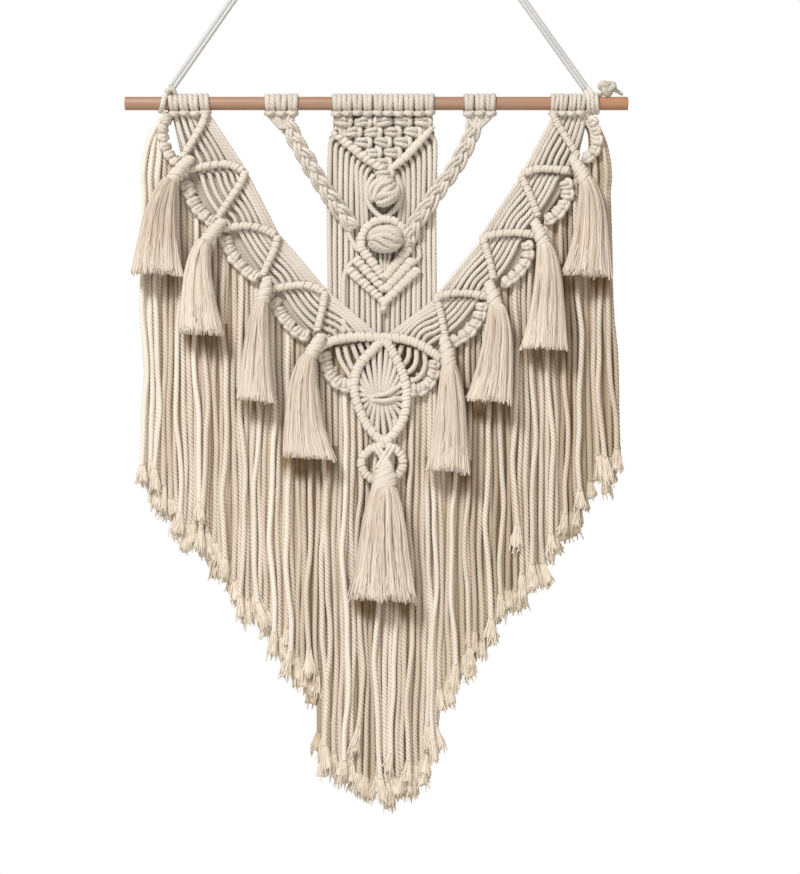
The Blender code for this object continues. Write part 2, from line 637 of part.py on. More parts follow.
# ---------------------------------------------------------------- the fringe
def comb(name, x0, x1, teeth, strands, lean):
    """One comb of the fringe: joined behind the wings, then parted into teeth of a few cords each.

    The outermost `strands` teeth reach up to the heading in an arch, on the side away from the middle.
    """
    sign = -1 if x0 < 0 else 1
    pitch = (x1 - x0) / teeth
    edges = []
    for t in range(teeth):
        left, right = x0 + t * pitch + SLOT_WIDTH / 2, x0 + (t + 1) * pitch - SLOT_WIDTH / 2
        edges += [left, (left + right) / 2, right]
    if sign > 0:
        edges = [-x for x in reversed(edges)]
    # From here on the outer side comes first, whichever side of the hanging the comb is on.
    arched = 3 * strands
    high_rows = len(OUTER_STRANDS) if strands else 0
    rows = high_rows + 3
    front, back = [[] for _ in range(rows)], [[] for _ in range(rows)]
    for c, edge in enumerate(edges):
        x = edge * (1 if sign < 0 else -1)
        low_x = min(max(x + lean * (x - x0) / (x1 - x0), FRINGE_ENDS[0][0]), FRINGE_ENDS[-1][0])
        bottom = along_table(FRINGE_ENDS, low_x) + (3.0 if (c // 3) % 2 else -3.0)
        top = STRANDS_JOIN_Z if c < arched else along_table(FRINGE_TOPS, x)
        share = c / max(arched - 1, 1)
        column = []
        for row in OUTER_STRANDS[:high_rows]:
            across = row["outer"] + (row["inner"] - row["outer"]) * min(share, 1.0)
            column.append((sign * across, row["z"]))
        for down in (0.0, SLOT_START, 1.0):
            sway = 1.2 * math.sin(0.9 * c) * down if c % 3 == 1 else 0.0
            column.append((x + (low_x - x) * down + sway, top + (bottom - top) * down))
        for r, (px, pz) in enumerate(column):
            ridge = 1.0 if c % 3 != 1 else 0.0
            front[r].append((px, FRINGE_FRONT + ridge, pz))
            back[r].append((px, FRINGE_BACK - ridge, pz))

    def keep(r, c):
        in_slot = c % 3 == 2
        if r < high_rows:
            return c < arched - 1
        return r == high_rows or not in_slot

    sheet(name, front, back, keep, colour=COTTON_SHADE)


# ---------------------------------------------------------------- the whole hanging
def build():
    for old in list(bpy.data.objects):
        bpy.data.objects.remove(old)
    rod()
    hanging_cord()
    for row in TIES:
        tie(**row)
    for row in HEADINGS:
        heading(**row)
    for side, sections in WINGS.items():
        wing(f"wing_{side}", sections)
        for number, section in enumerate(sections, 1):
            chain(f"chain_{side}_{number}", section["chain"])
    for side, rows in ZIGZAGS.items():
        for number, row in enumerate(rows, 1):
            zigzag(f"bars_{side}_{number}", row["out"], row["back"])
    ribbon("arch", ARCH, BAR_WIDTH, BAR_DEPTH, BAR_BACK)
    for row in TASSELS:
        tassel(**row)
    net()
    ribbon("net_edge", NET_EDGE, BAR_WIDTH, BAR_DEPTH, FRINGE_FRONT - GAP)
    for row in PANELS:
        panel(**row)
    for row in BERRIES:
        berry(**row)
    ribbon("ring", RING, RING_WIDTH, BAR_DEPTH, FRINGE_FRONT - GAP)
    for row in CHEVRONS:
        ribbon(row["name"], row["arms"], CHEVRON_WIDTH, CHEVRON_DEPTH, FRINGE_FRONT - GAP, step=CURVE_STEP)
    for row in BRAIDS:
        braid(**row)
    ribbon("leaf", LEAF, BAR_WIDTH, BAR_DEPTH, BAR_BACK, closed=True, step=LEAF_STEP)
    star()
    ribbon("star_tie", STAR_TIE, STAR_TIE_WIDTH, STAR_TIE_DEPTH, BAR_BACK, step=CURVE_STEP)
    ribbon("lower_ring", LOWER_RING, LOWER_RING_WIDTH, BAR_DEPTH, BAR_BACK, closed=True, step=TIGHT_STEP)
    for row in COMBS:
        comb(**row)


build()
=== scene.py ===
"""Looks of the macrame wall hanging: every cord, knot, hitched bar and tassel as its own twisted surface.

Places are in millimetres as (x, z) or (x, y, z) from the middle of the rod's axis, and metres() turns them
into the frame's metres. -Y faces the room. Nearly every shape is a cord, rings of points along a line.
"""

import bpy
import numpy as np
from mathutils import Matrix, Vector


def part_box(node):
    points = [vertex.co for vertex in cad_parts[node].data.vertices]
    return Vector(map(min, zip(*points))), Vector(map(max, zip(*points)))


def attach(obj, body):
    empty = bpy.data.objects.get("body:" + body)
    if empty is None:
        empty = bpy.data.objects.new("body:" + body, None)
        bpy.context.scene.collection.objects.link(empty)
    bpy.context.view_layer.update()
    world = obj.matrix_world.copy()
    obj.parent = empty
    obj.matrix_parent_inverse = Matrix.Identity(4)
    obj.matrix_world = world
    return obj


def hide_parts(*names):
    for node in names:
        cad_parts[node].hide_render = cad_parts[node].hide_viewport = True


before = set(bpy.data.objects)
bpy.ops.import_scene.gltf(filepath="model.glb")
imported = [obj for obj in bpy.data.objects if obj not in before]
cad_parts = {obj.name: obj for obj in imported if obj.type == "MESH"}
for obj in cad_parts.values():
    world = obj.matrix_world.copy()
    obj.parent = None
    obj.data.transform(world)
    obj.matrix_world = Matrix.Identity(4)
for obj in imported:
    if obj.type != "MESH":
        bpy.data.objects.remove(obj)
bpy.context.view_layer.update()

MM = 0.001
ROD_LOW, ROD_HIGH = (np.array(corner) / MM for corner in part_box("rod"))
ROD_Z = (ROD_LOW[2] + ROD_HIGH[2]) / 2
ROD_RADIUS = (ROD_HIGH[2] - ROD_LOW[2]) / 2
TURN = 2 * np.pi
FRONT = np.array([0.0, -1.0, 0.0])

# ---------------------------------------------------------------- sizes, in millimetres
CORD = 2.1              # radius of the knotted cord
LAY = 10.8              # one whole turn of its three plies
PLIES = 3
GROOVE = 0.15           # how far the valley between two plies lies in, as a share of the radius
WIND = 1.8              # radius of cord that is pulled tight round a bar
WIND_PITCH = 3.5        # from one turn on a bar to the next
WIND_POINTS = 12        # points on each turn
UNTWISTED = 1e6         # the lay of what doesn't turn
ROD_EDGE = 0.8          # how far the rod's end edges are rounded
BACK_Y = 4.6            # the middle of the cords hidden behind the net and the panel
PANEL_Y = 0.6
WING_BACK_Y = 2.2
WING_Y = -2.9
CHAIN_Y = -3.9
CHAIN_HALF, TOP_CHAIN_HALF = 5.4, 4.3
BAR_Y = -7.5
LOW_BAR_Y = -4.2        # bars that lie right on the centre panel
TASSEL_Y = -18.0
TASSEL_THREADS, TASSEL_FRIZZ = 290, 180
HANG_CORD_DIAMETER = 7.2
HANG_BEND_RADIUS = 9.0
HANG_LEFT = (-183.5, 13.7)
HANG_RIGHT = (187.4, 13.1)

# ---------------------------------------------------------------- tables, (x, z) in millimetres
HEADINGS = [
    dict(name="heading_left_wing", x0=-187.0, x1=-150.0, loops=4, slant=0.22, gather=None),
    dict(name="heading_left_braid", x0=-100.0, x1=-70.0, loops=3, slant=0.0, gather=(-82.0, -23.0)),
    dict(name="heading_centre", x0=-40.0, x1=52.0, loops=10, slant=0.0, gather=None),
    dict(name="heading_right_braid", x0=78.0, x1=107.0, loops=3, slant=0.0, gather=(89.0, -22.0)),
    dict(name="heading_right_wing", x0=156.0, x1=187.5, loops=4, slant=-0.2, gather=None),
]
# Each section of a wing: its cords' first and last start and end, from the inner to the outer side, how far
# they bow before the bar that crosses them and dip behind it, and the scallop on its outer edge.
WINGS = dict(
    left=[
        dict(start=[(-149, -11.2), (-180, -12.5)], end=[(-117.6, -58.6), (-165.5, -57.5)],
             bow=0.0, dip=1.0,
             chain=[(-187.4, -13), (-191, -24.6), (-189.2, -37.1), (-184.7, -47), (-177.6, -55)]),
        dict(start=[(-115.9, -63.1), (-157, -65.8)], end=[(-89.9, -114.1), (-133.7, -106.9)],
             bow=2.6, dip=1.6,
             chain=[(-170.4, -69.3), (-166.8, -81), (-160.6, -92.6), (-152.5, -101.5), (-144.5, -107.8)]),
        dict(start=[(-87.2, -118.5), (-123, -115.9)], end=[(-47.9, -164.2), (-91.7, -161.5)],
             bow=1.0, dip=1.6,
             chain=[(-135.5, -119.4), (-131.1, -131.1), (-123.9, -141.8), (-115, -150.7), (-104.2, -157)]),
        dict(start=[(-45.2, -167.7), (-82.8, -170.4)], end=[(0.4, -207.1), (-43.4, -212.5)],
             bow=3.0, dip=3.2,
             chain=[(-92.6, -174.9), (-86.3, -186.5), (-79.2, -196.4), (-70.2, -204.4), (-59.5, -209.8)]),
    ],
    right=[
        dict(start=[(157.9, -12.1), (187, -13)], end=[(132, -58.6), (172.5, -57)],
             bow=0.5, dip=1.0,
             chain=[(191.9, -13), (196.4, -24.6), (197.3, -36.2), (192.8, -45.2), (184.7, -51.4)]),
        dict(start=[(129.3, -65.8), (161.5, -68.4)], end=[(96.2, -115), (132, -112.3)],
             bow=1.5, dip=1.6,
             chain=[(169.5, -69.3), (171.3, -80.1), (167.7, -90.8), (160.6, -99.7), (150.7, -106)]),
        dict(start=[(94.4, -122.1), (127.5, -123.9)], end=[(55.9, -169.5), (98, -166.8)],
             bow=2.0, dip=1.6,
             chain=[(134.6, -124.8), (135.5, -136.4), (130.2, -147.2), (121.2, -156.1), (112.3, -162.4)]),
        dict(start=[(53.2, -175.8), (89, -177.6)], end=[(9.4, -208), (48.8, -215.2)],
             bow=3.0, dip=3.2,
             chain=[(95.3, -179.4), (91.7, -191.9), (85.4, -201.7), (76.5, -208.9), (66.6, -214.3)]),
    ],
)
# Where the seen cords lie between the inner and the outer end of a row.
WING_SHARES = dict(left=[0.03, 0.12, 0.22, 0.34, 0.48, 0.63, 0.79, 0.96],
                   right=[0.03, 0.12, 0.22, 0.36, 0.51, 0.66, 0.81, 0.96])
# The last scallop of each wing and the short cords under the arch.
LOWER_WING = dict(
    left=dict(
        chain=[(-47, -222.3), (-45.2, -233), (-40.7, -243.8), (-32.7, -250.9), (-21.9, -253.6)],
        cords=[
            [(-35.3, -217.8), (-31.8, -230.4), (-21.9, -246.5)],
            [(-28.6, -216.9), (-24.6, -230.4), (-18.3, -242)],
            [(-21.9, -215.2), (-17.4, -226.8), (-13, -235.7)],
            [(-15.7, -214.3), (-12.1, -222.3), (-7.6, -229.5)],
            [(-8.9, -213.4), (-5.8, -219.6), (-2.2, -225)],
            [(-3.1, -212.5), (0.4, -216.9), (3.1, -220.5)],
        ]),
    right=dict(
        chain=[(52.3, -229.5), (51.4, -241.1), (47, -250.9), (38, -256.3), (26.4, -256.3)],
        cords=[
            [(42.5, -220.5), (43.4, -234.8), (37.1, -245.6), (22.8, -250.9)],
            [(35.8, -219.6), (35.3, -231.3), (30, -239.3), (19.2, -243.8)],
            [(29.1, -217.8), (28.6, -226.8), (24.6, -233), (15.7, -237.5)],
            [(22.4, -216), (21, -222.3), (17.4, -227.7), (10.3, -231.3)],
            [(15.7, -214.3), (13.9, -219.6), (9.4, -224.1)],
        ]),
)
# The hitched bars: out to each tassel and back from it.
ZIGZAGS = dict(
    left=[
        dict(out=[(-152.3, -9.8), (-156, -20), (-162.8, -32), (-169.5, -43), (-173.5, -50)],
             back=[(-172.5, -59.5), (-162.4, -58.5), (-147, -55.5), (-132, -55), (-119, -60.5)]),
        dict(out=[(-117, -62), (-122.6, -74), (-131.1, -86.5), (-138.2, -97.4), (-142, -104)],
             back=[(-139.8, -113.1), (-131.1, -111.3), (-116.5, -109.8), (-103, -112), (-89.8, -118)]),
        dict(out=[(-88, -119.3), (-91.6, -132), (-97.6, -145), (-101.5, -155)],
             back=[(-98.6, -166.7), (-86.3, -165), (-71.2, -162.8), (-58.5, -163.6), (-47, -168.5)]),
        dict(out=[(-45.8, -169), (-47.8, -181.2), (-50.8, -194), (-53, -204)], back=[]),
    ],
    right=[
        dict(out=[(157.2, -9.8), (163, -21.5), (169.8, -32), (176.3, -42.5), (180, -49)],
             back=[(130.2, -63.6), (142, -59.3), (155.2, -59), (165, -60), (173, -60.5)]),
        dict(out=[(128.6, -65), (134.8, -77.5), (140, -90), (144.4, -101.5)],
             back=[(93.6, -120.8), (106, -117.3), (119.4, -116), (131, -116.4), (142, -117.6)]),
        dict(out=[(95, -121.2), (99, -134), (102.4, -147.2), (104.6, -158)],
             back=[(53.2, -173.6), (66, -170.2), (80.1, -170), (91.6, -171.6), (101, -173.1)]),
        dict(out=[(53, -173.2), (57, -186.7), (59.7, -200), (61.4, -210)], back=[]),
    ],
)
ARCH = [(-57, -223), (-44, -214.5), (-31, -210.5), (-15, -209), (3, -209.5), (18, -210), (32, -213),
        (46, -220), (58, -229)]
# The cords that cross inside the lower ring: x at the top and at the foot, and how far forwards they cross.
CROSSINGS = [(-3.0, 9.5, 1.2), (1.0, 13.0, 0.0), (16.5, 4.5, 0.0), (12.5, 0.5, 1.2)]
# The neck's middle line, the neck's half width above and below, and the two corners of the cut end. A
# tassel's light is a painted light above nought and a painted shade below it.
TASSELS = [
    dict(name="tassel_left_1", neck=[(-166, -50), (-174.6, -59.6), (-183.8, -72.9)], upper=5.6, lower=6.2,
         left=(-219, -153), right=(-172, -156), locks=5, light=-0.4),
    dict(name="tassel_left_2", neck=[(-137.4, -105.6), (-145, -114.9), (-153.4, -127.5)],
         upper=5.6, lower=6.2, left=(-177, -207), right=(-133.5, -209), locks=2, light=0.25),
    dict(name="tassel_left_3", neck=[(-97.8, -157.8), (-99.4, -168.6), (-102.4, -181.2)],
         upper=5.6, lower=6.4, left=(-124.5, -266), right=(-90, -268), locks=4),
    dict(name="tassel_left_4", neck=[(-49.5, -208.5), (-54.6, -217.8), (-60.4, -229.5)], upper=5.8, lower=6.4,
         left=(-84, -317), right=(-36.5, -319), locks=5),
    dict(name="tassel_right_1", neck=[(174.5, -50), (180.6, -60.5), (187.4, -73.8)], upper=5.6, lower=6.8,
         left=(164, -155), right=(209, -157), locks=4, light=-0.3),
    dict(name="tassel_right_2", neck=[(140.5, -107), (144.9, -116.9), (149.8, -130.2)], upper=5.6, lower=6.6,
         left=(128, -220), right=(170, -222), locks=4),
    dict(name="tassel_right_3", neck=[(99.6, -161.5), (102.8, -171.8), (106.9, -184.7)], upper=5.8, lower=7.0,
         left=(79, -266), right=(121, -268), locks=5),
    dict(name="tassel_right_4", neck=[(59.5, -210), (62.5, -222), (64.9, -237.5)], upper=5.8, lower=7.0,
         left=(44, -328), right=(84, -331), locks=3),
    dict(name="tassel_centre", neck=[(6.7, -321.5), (6.7, -332), (6.7, -346)], upper=8.5, lower=12.0,
         left=(-25, -443), right=(37, -446), locks=6, wrap=(1.7, 3.0), crossings=CROSSINGS),
]
# Down a tassel: the share of its length, how far its width has grown from neck to foot, and half its depth.
TASSEL_FORM = np.array([
    (0.00, 0.00, 5.2), (0.04, 0.08, 6.2), (0.10, 0.17, 6.9), (0.26, 0.31, 7.2),
    (0.48, 0.49, 7.5), (0.72, 0.68, 7.6), (0.90, 0.86, 7.6), (1.00, 0.98, 7.8),
])
NET_MIDDLE_X, NET_TOP_Z, NET_PITCH_X, NET_PITCH_Z, NET_ROWS = 5.7, -16.4, 17.8, 9.3, 5
NET_EDGE = [(-39, -27), (-24, -38), (-7, -51), (8, -60), (12, -60), (26, -48), (38, -35), (50, -22)]
# Cords that run down on both sides of the upper berry.
HUGS = [[(-2.2, -64), (-7.2, -72), (-8.5, -81), (-6.7, -89.9), (0.4, -98.9), (11.2, -106)],
        [(16.6, -64.9), (21, -72.9), (21.9, -81.9), (19.2, -90.8), (12.1, -98.9), (1.3, -106)]]
# The cords down the net's two sides: x, and the z of their foot.
NET_SIDES = [(-35.5, -30.0), (-32.0, -34.0), (46.5, -24.0), (43.0, -30.0)]
PANEL_BOTTOM = -209.0
# Where the panel's cords hang: from the outermost to the innermost.
PANEL_CORDS = dict(left=(-42.0, 2.4), right=(52.0, 9.6))
# Cords that lie over the panel beside the chevrons.
FEEDS = dict(
    left=[[(-29.1, -105.1), (-23.7, -119.4), (-16.6, -132)],
          [(-21.9, -141.8), (-28.2, -151.6), (-29.5, -166.8), (-29.1, -205.3)]],
    right=[[(34.5, -104), (35.5, -118), (30.5, -131)], [(37, -127), (38.5, -137), (34, -143)]],
)
BERRIES = [
    dict(name="berry_upper", at=(6.6, -79.5), size=(30, 28), deep=17, axis=(0.7, 0.1, 1.0), strands=6),
    dict(name="berry_lower", at=(8, -122), size=(34, 27), deep=18, axis=(1.0, 0.1, 0.12), strands=7),
]
RING = [(-13.9, -129.3), (-12.7, -118.5), (-7.7, -110.5), (0.2, -105.6), (8, -104.2), (16.2, -106),
        (23.4, -112.3), (26.9, -120.3), (28, -128.4)]
CHEVRONS = [
    dict(name="chevron_1", left=[(-13.9, -129.5), (7.6, -156.8)], right=[(28.2, -130.4), (6.7, -156.8)],
         wide=[5.2, 4.6], cords=(3.6, 7.6, 11.4)),
    dict(name="chevron_2", left=[(-18.9, -139.1), (7.6, -167.6)], right=[(32.4, -140), (6.7, -167.6)],
         wide=[5.2, 4.5]),
    dict(name="chevron_3", left=[(-24.2, -149.2), (7.6, -178)], right=[(36.2, -149), (6.7, -178)],
         wide=[5.1, 4.3], tip=[(6.7, -178), (6.7, -182), (6.7, -187)]),
]
BRAIDS = [
    dict(name="braid_left",
         path=[(-84, -9), (-80, -17), (-72.5, -33), (-62, -51), (-52, -68), (-40, -86), (-28, -102),
               (-20, -112)]),
    dict(name="braid_right",
         path=[(91, -9), (88, -18), (84, -31), (76, -47), (65, -65), (53, -81), (43, -96), (35, -107),
               (31, -116), (29.5, -125)]),
]
BRAID_CYCLE = 45.0
LEAF = [(6.7, -212.5), (-4.9, -222.3), (-15.7, -234.8), (-19.7, -248.3), (-18.8, -262.6),
        (-13.9, -276.9), (-6.7, -290.3), (6.7, -301.9), (17.4, -293), (24.2, -281.4), (26.8, -267),
        (26.4, -252.7), (21.9, -237.5), (14.8, -223.2)]
STAR_CORDS = 24
STAR_HEART, LEAF_MIDDLE = (4.0, -263.0), (6.0, -262.0)
STAR_TIES = [[(-4.9, -263.5), (0.4, -261.2), (8.5, -259.9), (16.6, -255.4), (24.6, -250)],
             [(-4.9, -265.2), (1.3, -266.1), (10.3, -265.7), (17.4, -263.9), (23.7, -264.4)]]
LOWER_RING = [(7, -305.2), (-10, -313), (-13, -325), (-4, -336), (12, -337), (23, -326), (21, -313)]
# The line that the fringe comes down from, and the line of its cut ends.
FRINGE_TOPS = [
    (-205, -26), (-196, -30), (-190, -44), (-183, -54), (-176, -62), (-165, -82), (-152, -100),
    (-138, -118), (-125, -134), (-113, -146), (-98, -160), (-88, -180), (-70, -200), (-56, -212),
    (-46, -222), (-30, -246), (0, -240), (30, -246), (46, -232), (55, -222), (62, -215),
    (77, -202), (94, -180), (113, -160), (128, -146), (140, -128), (153, -105), (170, -84),
    (176, -64), (188, -52), (197, -38), (205, -26),
]
FRINGE_ENDS = [
    (-209, -340), (-198, -352), (-185, -385), (-170, -400), (-150, -412), (-130, -440), (-122, -458),
    (-106, -467), (-88, -495), (-73, -516), (-62, -532), (-52, -548), (-50.5, -592), (-41, -603),
    (-30, -612), (-16, -624), (0, -628), (24, -628), (36, -619), (46, -606), (52, -580),
    (59, -552), (68, -525), (82, -505), (94, -498), (106, -475), (124, -452), (144, -440),
    (157, -408), (170, -398), (181, -380), (191, -358), (208, -341), (218, -330),
]
FRINGES = [
    dict(name="fringe_left", x0=-207.5, x1=-48.0, lean=0.0, behind=(-205.0, -50.5)),
    dict(name="fringe_centre", x0=-43.5, x1=47.5, lean=0.0, behind=(-46.0, 50.0)),
    dict(name="fringe_right", x0=52.0, x1=207.5, lean=8.5, behind=(54.0, 205.0)),
]
OUTER_X = (192.5, 207.5)        # the outermost cords, which come down from the wing
PANEL_HALF = 62                 # behind the panel the fringe starts lower
GAPS, SHORT_CORDS = 0.04, 0.22  # shares of the middle cords left out, and of the front ones cut short
# Painted light and shade on the fringe, from left to right: lighter on the left, darker on the right.
FRINGE_PAINTED_LIGHT = [(-205, 0.6), (-172, 0.05), (-142, -0.05), (0, -0.12), (50, -0.2), (107, -0.22), (165, -0.46)]
# From the back to the front, darker to lighter: a painted shade on the cords behind and a painted light on
# those in front. Cords stray from their pitch and splay at the foot, and their opened ends are lighter,
# partly as painted light against the shade among their threads.
FRINGE_LAYERS = [
    dict(y=4.6, pitch=5.2, thick=3.3, swing=0.1, stray=0.0, splay=0.0, tone=(-0.4, 0.05), end_light=0.8,
         groove=0.0, step=3.6, sides=5, drop=(3.0, 9.0), threads=8),
    dict(y=1.3, pitch=5.8, thick=2.65, swing=1.2, stray=0.8, splay=1.0, tone=(0.1, 0.75), end_light=0.7,
         groove=0.2, step=1.75, sides=6, drop=(0.0, 14.0), threads=15),
    dict(y=-2.3, pitch=14.5, thick=2.5, swing=2.2, stray=3.2, splay=2.5, tone=(0.8, 1.45), end_light=0.5,
         groove=0.17, step=1.75, sides=6, drop=(-2.0, 16.0), threads=20),
]
# Where the outermost cords come down from the wing: at height z, how far out the first and the last lie.
OUTER_STRANDS = [
    dict(z=-8.75, outer=187.0, inner=181.0),
    dict(z=-22.0, outer=197.5, inner=190.0),
    dict(z=-33.0, outer=203.0, inner=191.5),
    dict(z=-46.0, outer=206.5, inner=191.0),
    dict(z=-64.0, outer=208.5, inner=192.5),
]
TIES = dict(
    left_x=(-188.5, -196.5), right_x=(188.6, 199.0),
    left_start=(-185.0, -3.0, 11.5),
    left_knot=[(-187.0, -4.5, 7.5), (-187.2, -6.0, 10.0), (-184.5, -7.2, 12.0), (-181.4, -6.5, 11.4),
               (-179.8, -4.5, 8.4), (-181.5, -1.0, 7.6), (-185.0, 0.5, 9.5)],
    right_lead=(201.5, -1.0, 10.0), right_knot=(206.3, -2.6, 13.6),
    right_second=[(190.8, -3.5, 11.0), (192.6, -6.6, 7.5), (193.0, -7.6, 4.0)],
    free_end=[(210.5, -1.0, 12.5), (214.5, 0.0, 11.6), (217.6, 0.3, 9.8), (220.2, 0.6, 7.8)],
)
LAMPS = [
    dict(name="key_light", place=(-1.5, -2.6, 2.1), aim=(0.0, 0.0, -0.5), size=1.1, power=144.0),
    dict(name="fill_light", place=(0.7, -2.2, -1.0), aim=(0.0, 0.0, -0.6), size=1.6, power=12.0),
]


# ---------------------------------------------------------------- camera, light and floor
def camera():
    """A long lens square to the hanging; the picture is 800 x 874 and takes in 716 x 782 mm of it."""
    view_height, middle_x, middle_z, away, sensor = 0.7819, 0.02105, -0.56485, 2.6, 36.0
    data = bpy.data.cameras.new("camera")
    data.sensor_width = sensor
    data.lens = sensor * away / view_height
    made = bpy.data.objects.new("camera", data)
    made.location = (middle_x, -away, middle_z)
    made.rotation_euler = (np.pi / 2, 0.0, 0.0)
    bpy.context.collection.objects.link(made)
    bpy.context.scene.camera = made


def lamp(name, place, aim, size, power):
    """A round soft light at a place, aimed at a point, in metres and watts."""
    data = bpy.data.lights.new(name, "AREA")
    data.shape, data.size, data.energy = "DISK", size, power
    made = bpy.data.objects.new(name, data)
    made.location = place
    made.rotation_euler = (Vector(aim) - Vector(place)).to_track_quat("-Z", "Y").to_euler()
    bpy.context.collection.objects.link(made)


def studio():
    """A light from high up on the left, a weak one from the front, and a white surround."""
    bpy.context.scene.view_settings.view_transform = "Standard"
    for row in LAMPS:
        lamp(**row)
    world = bpy.data.worlds.new("white_surround")
    bpy.context.scene.world = world
    world.use_nodes = True
    tree = world.node_tree
    tree.nodes.clear()
    seen = add(tree, "ShaderNodeLightPath")
    # What the camera sees of the surround is white, and as a light it is weaker and a little warm.
    strength = add(tree, "ShaderNodeMapRange", {"Value": seen.outputs["Is Camera Ray"], "To Min": 0.36,
                                                "To Max": 1.0})
    tint = add(tree, "ShaderNodeMix", {0: seen.outputs["Is Camera Ray"], 6: srgb("FFEFDC"),
                                       7: srgb("FFFFFF")}, data_type="RGBA")
    light = add(tree, "ShaderNodeBackground", {"Color": tint.outputs[2], "Strength": strength.outputs[0]})
    add(tree, "ShaderNodeOutputWorld", {"Surface": light.outputs[0]})


def floor():
    """A pale floor below the hanging, out of the photograph's view."""
    half, height = 2.0, -1.3
    mesh = bpy.data.meshes.new("floor")
    mesh.from_pydata([(-half, -half, height), (half, -half, height), (half, half, height),
                      (-half, half, height)], [], [(0, 1, 2, 3)])
    made = bpy.data.objects.new("floor", mesh)
    mesh.materials.append(painted_floor())
    bpy.context.collection.objects.link(made)


# ---------------------------------------------------------------- materials
def srgb(code):
    """A hex colour such as "E6DCCF" as linear red, green, blue and alpha."""
    parts = np.array([int(code[k:k + 2], 16) / 255 for k in (0, 2, 4)])
    linear = np.where(parts <= 0.04045, parts / 12.92, ((parts + 0.055) / 1.055) ** 2.4)
    return (*linear, 1.0)


def add(tree, kind, inputs=None, **settings):
    """One shader node with its settings; an input is a number, a colour or another node's output."""
    made = tree.nodes.new(kind)
    for name, value in settings.items():
        setattr(made, name, value)
    for socket, value in (inputs or {}).items():
        if isinstance(value, bpy.types.NodeSocket):
            tree.links.new(value, made.inputs[socket])
        else:
            made.inputs[socket].default_value = value
    return made


def empty_material(name):
    made = bpy.data.materials.new(name)
    made.use_nodes = True
    made.node_tree.nodes.clear()
    return made, made.node_tree


def painted_floor():
    """Matt paint: even, with a faint roller mottle 20 mm across."""
    made, tree = empty_material("floor_matt_paint")
    where = add(tree, "ShaderNodeTexCoord")
    mottle = add(tree, "ShaderNodeTexNoise", {"Vector": where.outputs["Object"], "Scale": 50.0})
    colour = add(tree, "ShaderNodeMix", {0: mottle.outputs[0], 6: srgb("ECEAE6"), 7: srgb("F2F0EC")},
                 data_type="RGBA")
    shader = add(tree, "ShaderNodeBsdfPrincipled", {"Base Color": colour.outputs[2], "Roughness": 0.8})
    add(tree, "ShaderNodeOutputMaterial", {"Surface": shader.outputs[0]})
    return made


def cotton(name, light, dark, valley, deep="85745F", plied=1.0):
    """Cotton: matt fibres with a soft sheen at grazing angles, and a creamier, darker painted shade between
    the plies.

    U runs round the cord with its twist and V along it in millimetres, so a ply's valley is a line of
    constant U. The tone of a cord takes it from its dark to its light colour, and below nought to the deep
    one, a painted shade on hidden cords and below tassels. On the brightest cords the plies are fluffy and
    their valleys shallow.
    """
    made, tree = empty_material(name)
    run = add(tree, "ShaderNodeUVMap", uv_map="run")
    split = add(tree, "ShaderNodeSeparateXYZ", {0: run.outputs[0]})
    tone = add(tree, "ShaderNodeAttribute", attribute_name="tone")
    where = add(tree, "ShaderNodeTexCoord")

    # One valley for each ply: (1 + cos(2 pi plies u)) / 2, sharpened to a narrow line.
    turn = add(tree, "ShaderNodeMath", {0: split.outputs[0], 1: TURN * PLIES}, operation="MULTIPLY")
    wave = add(tree, "ShaderNodeMath", {0: turn.outputs[0]}, operation="COSINE")
    fluff = add(tree, "ShaderNodeMapRange", {"Value": tone.outputs["Fac"], "From Min": 0.8, "From Max": 1.5,
                                             "To Min": plied, "To Max": 0.4 * plied})
    line = add(tree, "ShaderNodeMapRange", {"Value": wave.outputs[0], "From Min": -0.3, "From Max": 1.0,
                                            "To Max": fluff.outputs[0]})
    # Fibres: streaks 0.5 mm across and 6 mm long. Stains: slow changes 40 mm across.
    squeeze = add(tree, "ShaderNodeMapping", {"Vector": run.outputs[0], "Scale": (26.0, 0.45, 1.0)})
    streak = add(tree, "ShaderNodeTexNoise", {"Vector": squeeze.outputs[0], "Scale": 1.0, "Detail": 3.0})
    slow = add(tree, "ShaderNodeTexNoise", {"Vector": where.outputs["Object"], "Scale": 25.0, "Detail": 2.0})
    mixed = add(tree, "ShaderNodeMath", {0: streak.outputs[0], 1: slow.outputs[0]}, operation="ADD")
    shade = add(tree, "ShaderNodeMath", {0: mixed.outputs[0], 1: tone.outputs["Fac"]}, operation="ADD")
    share = add(tree, "ShaderNodeMapRange", {"Value": shade.outputs[0], "From Min": 0.9, "From Max": 2.1})
    body = add(tree, "ShaderNodeMix", {0: share.outputs[0], 6: srgb(dark), 7: srgb(light)}, data_type="RGBA")
    # Painted shade: the valley colour along the line between two plies.
    plies = add(tree, "ShaderNodeMix", {0: line.outputs[0], 6: body.outputs[2], 7: srgb(valley)},
                data_type="RGBA")
    # Painted shade: below nought the tone darkens a cord toward the deep colour.
    inner = add(tree, "ShaderNodeMapRange", {"Value": tone.outputs["Fac"], "From Min": 0.0, "From Max": -1.0})
    colour = add(tree, "ShaderNodeMix", {0: inner.outputs[0], 6: plies.outputs[2], 7: srgb(deep)},
                 data_type="RGBA")

    height = add(tree, "ShaderNodeMath", {0: streak.outputs[0], 1: line.outputs[0]}, operation="SUBTRACT")
    bump = add(tree, "ShaderNodeBump", {"Height": height.outputs[0], "Strength": 0.5, "Distance": 0.0003})
    shader = add(tree, "ShaderNodeBsdfPrincipled", {
        "Base Color": colour.outputs[2], "Normal": bump.outputs[0], "Roughness": 0.92, "Sheen Weight": 0.25,
        "Sheen Roughness": 0.6, "Specular IOR Level": 0.2,
    })
    add(tree, "ShaderNodeOutputMaterial", {"Surface": shader.outputs[0]})
    return made


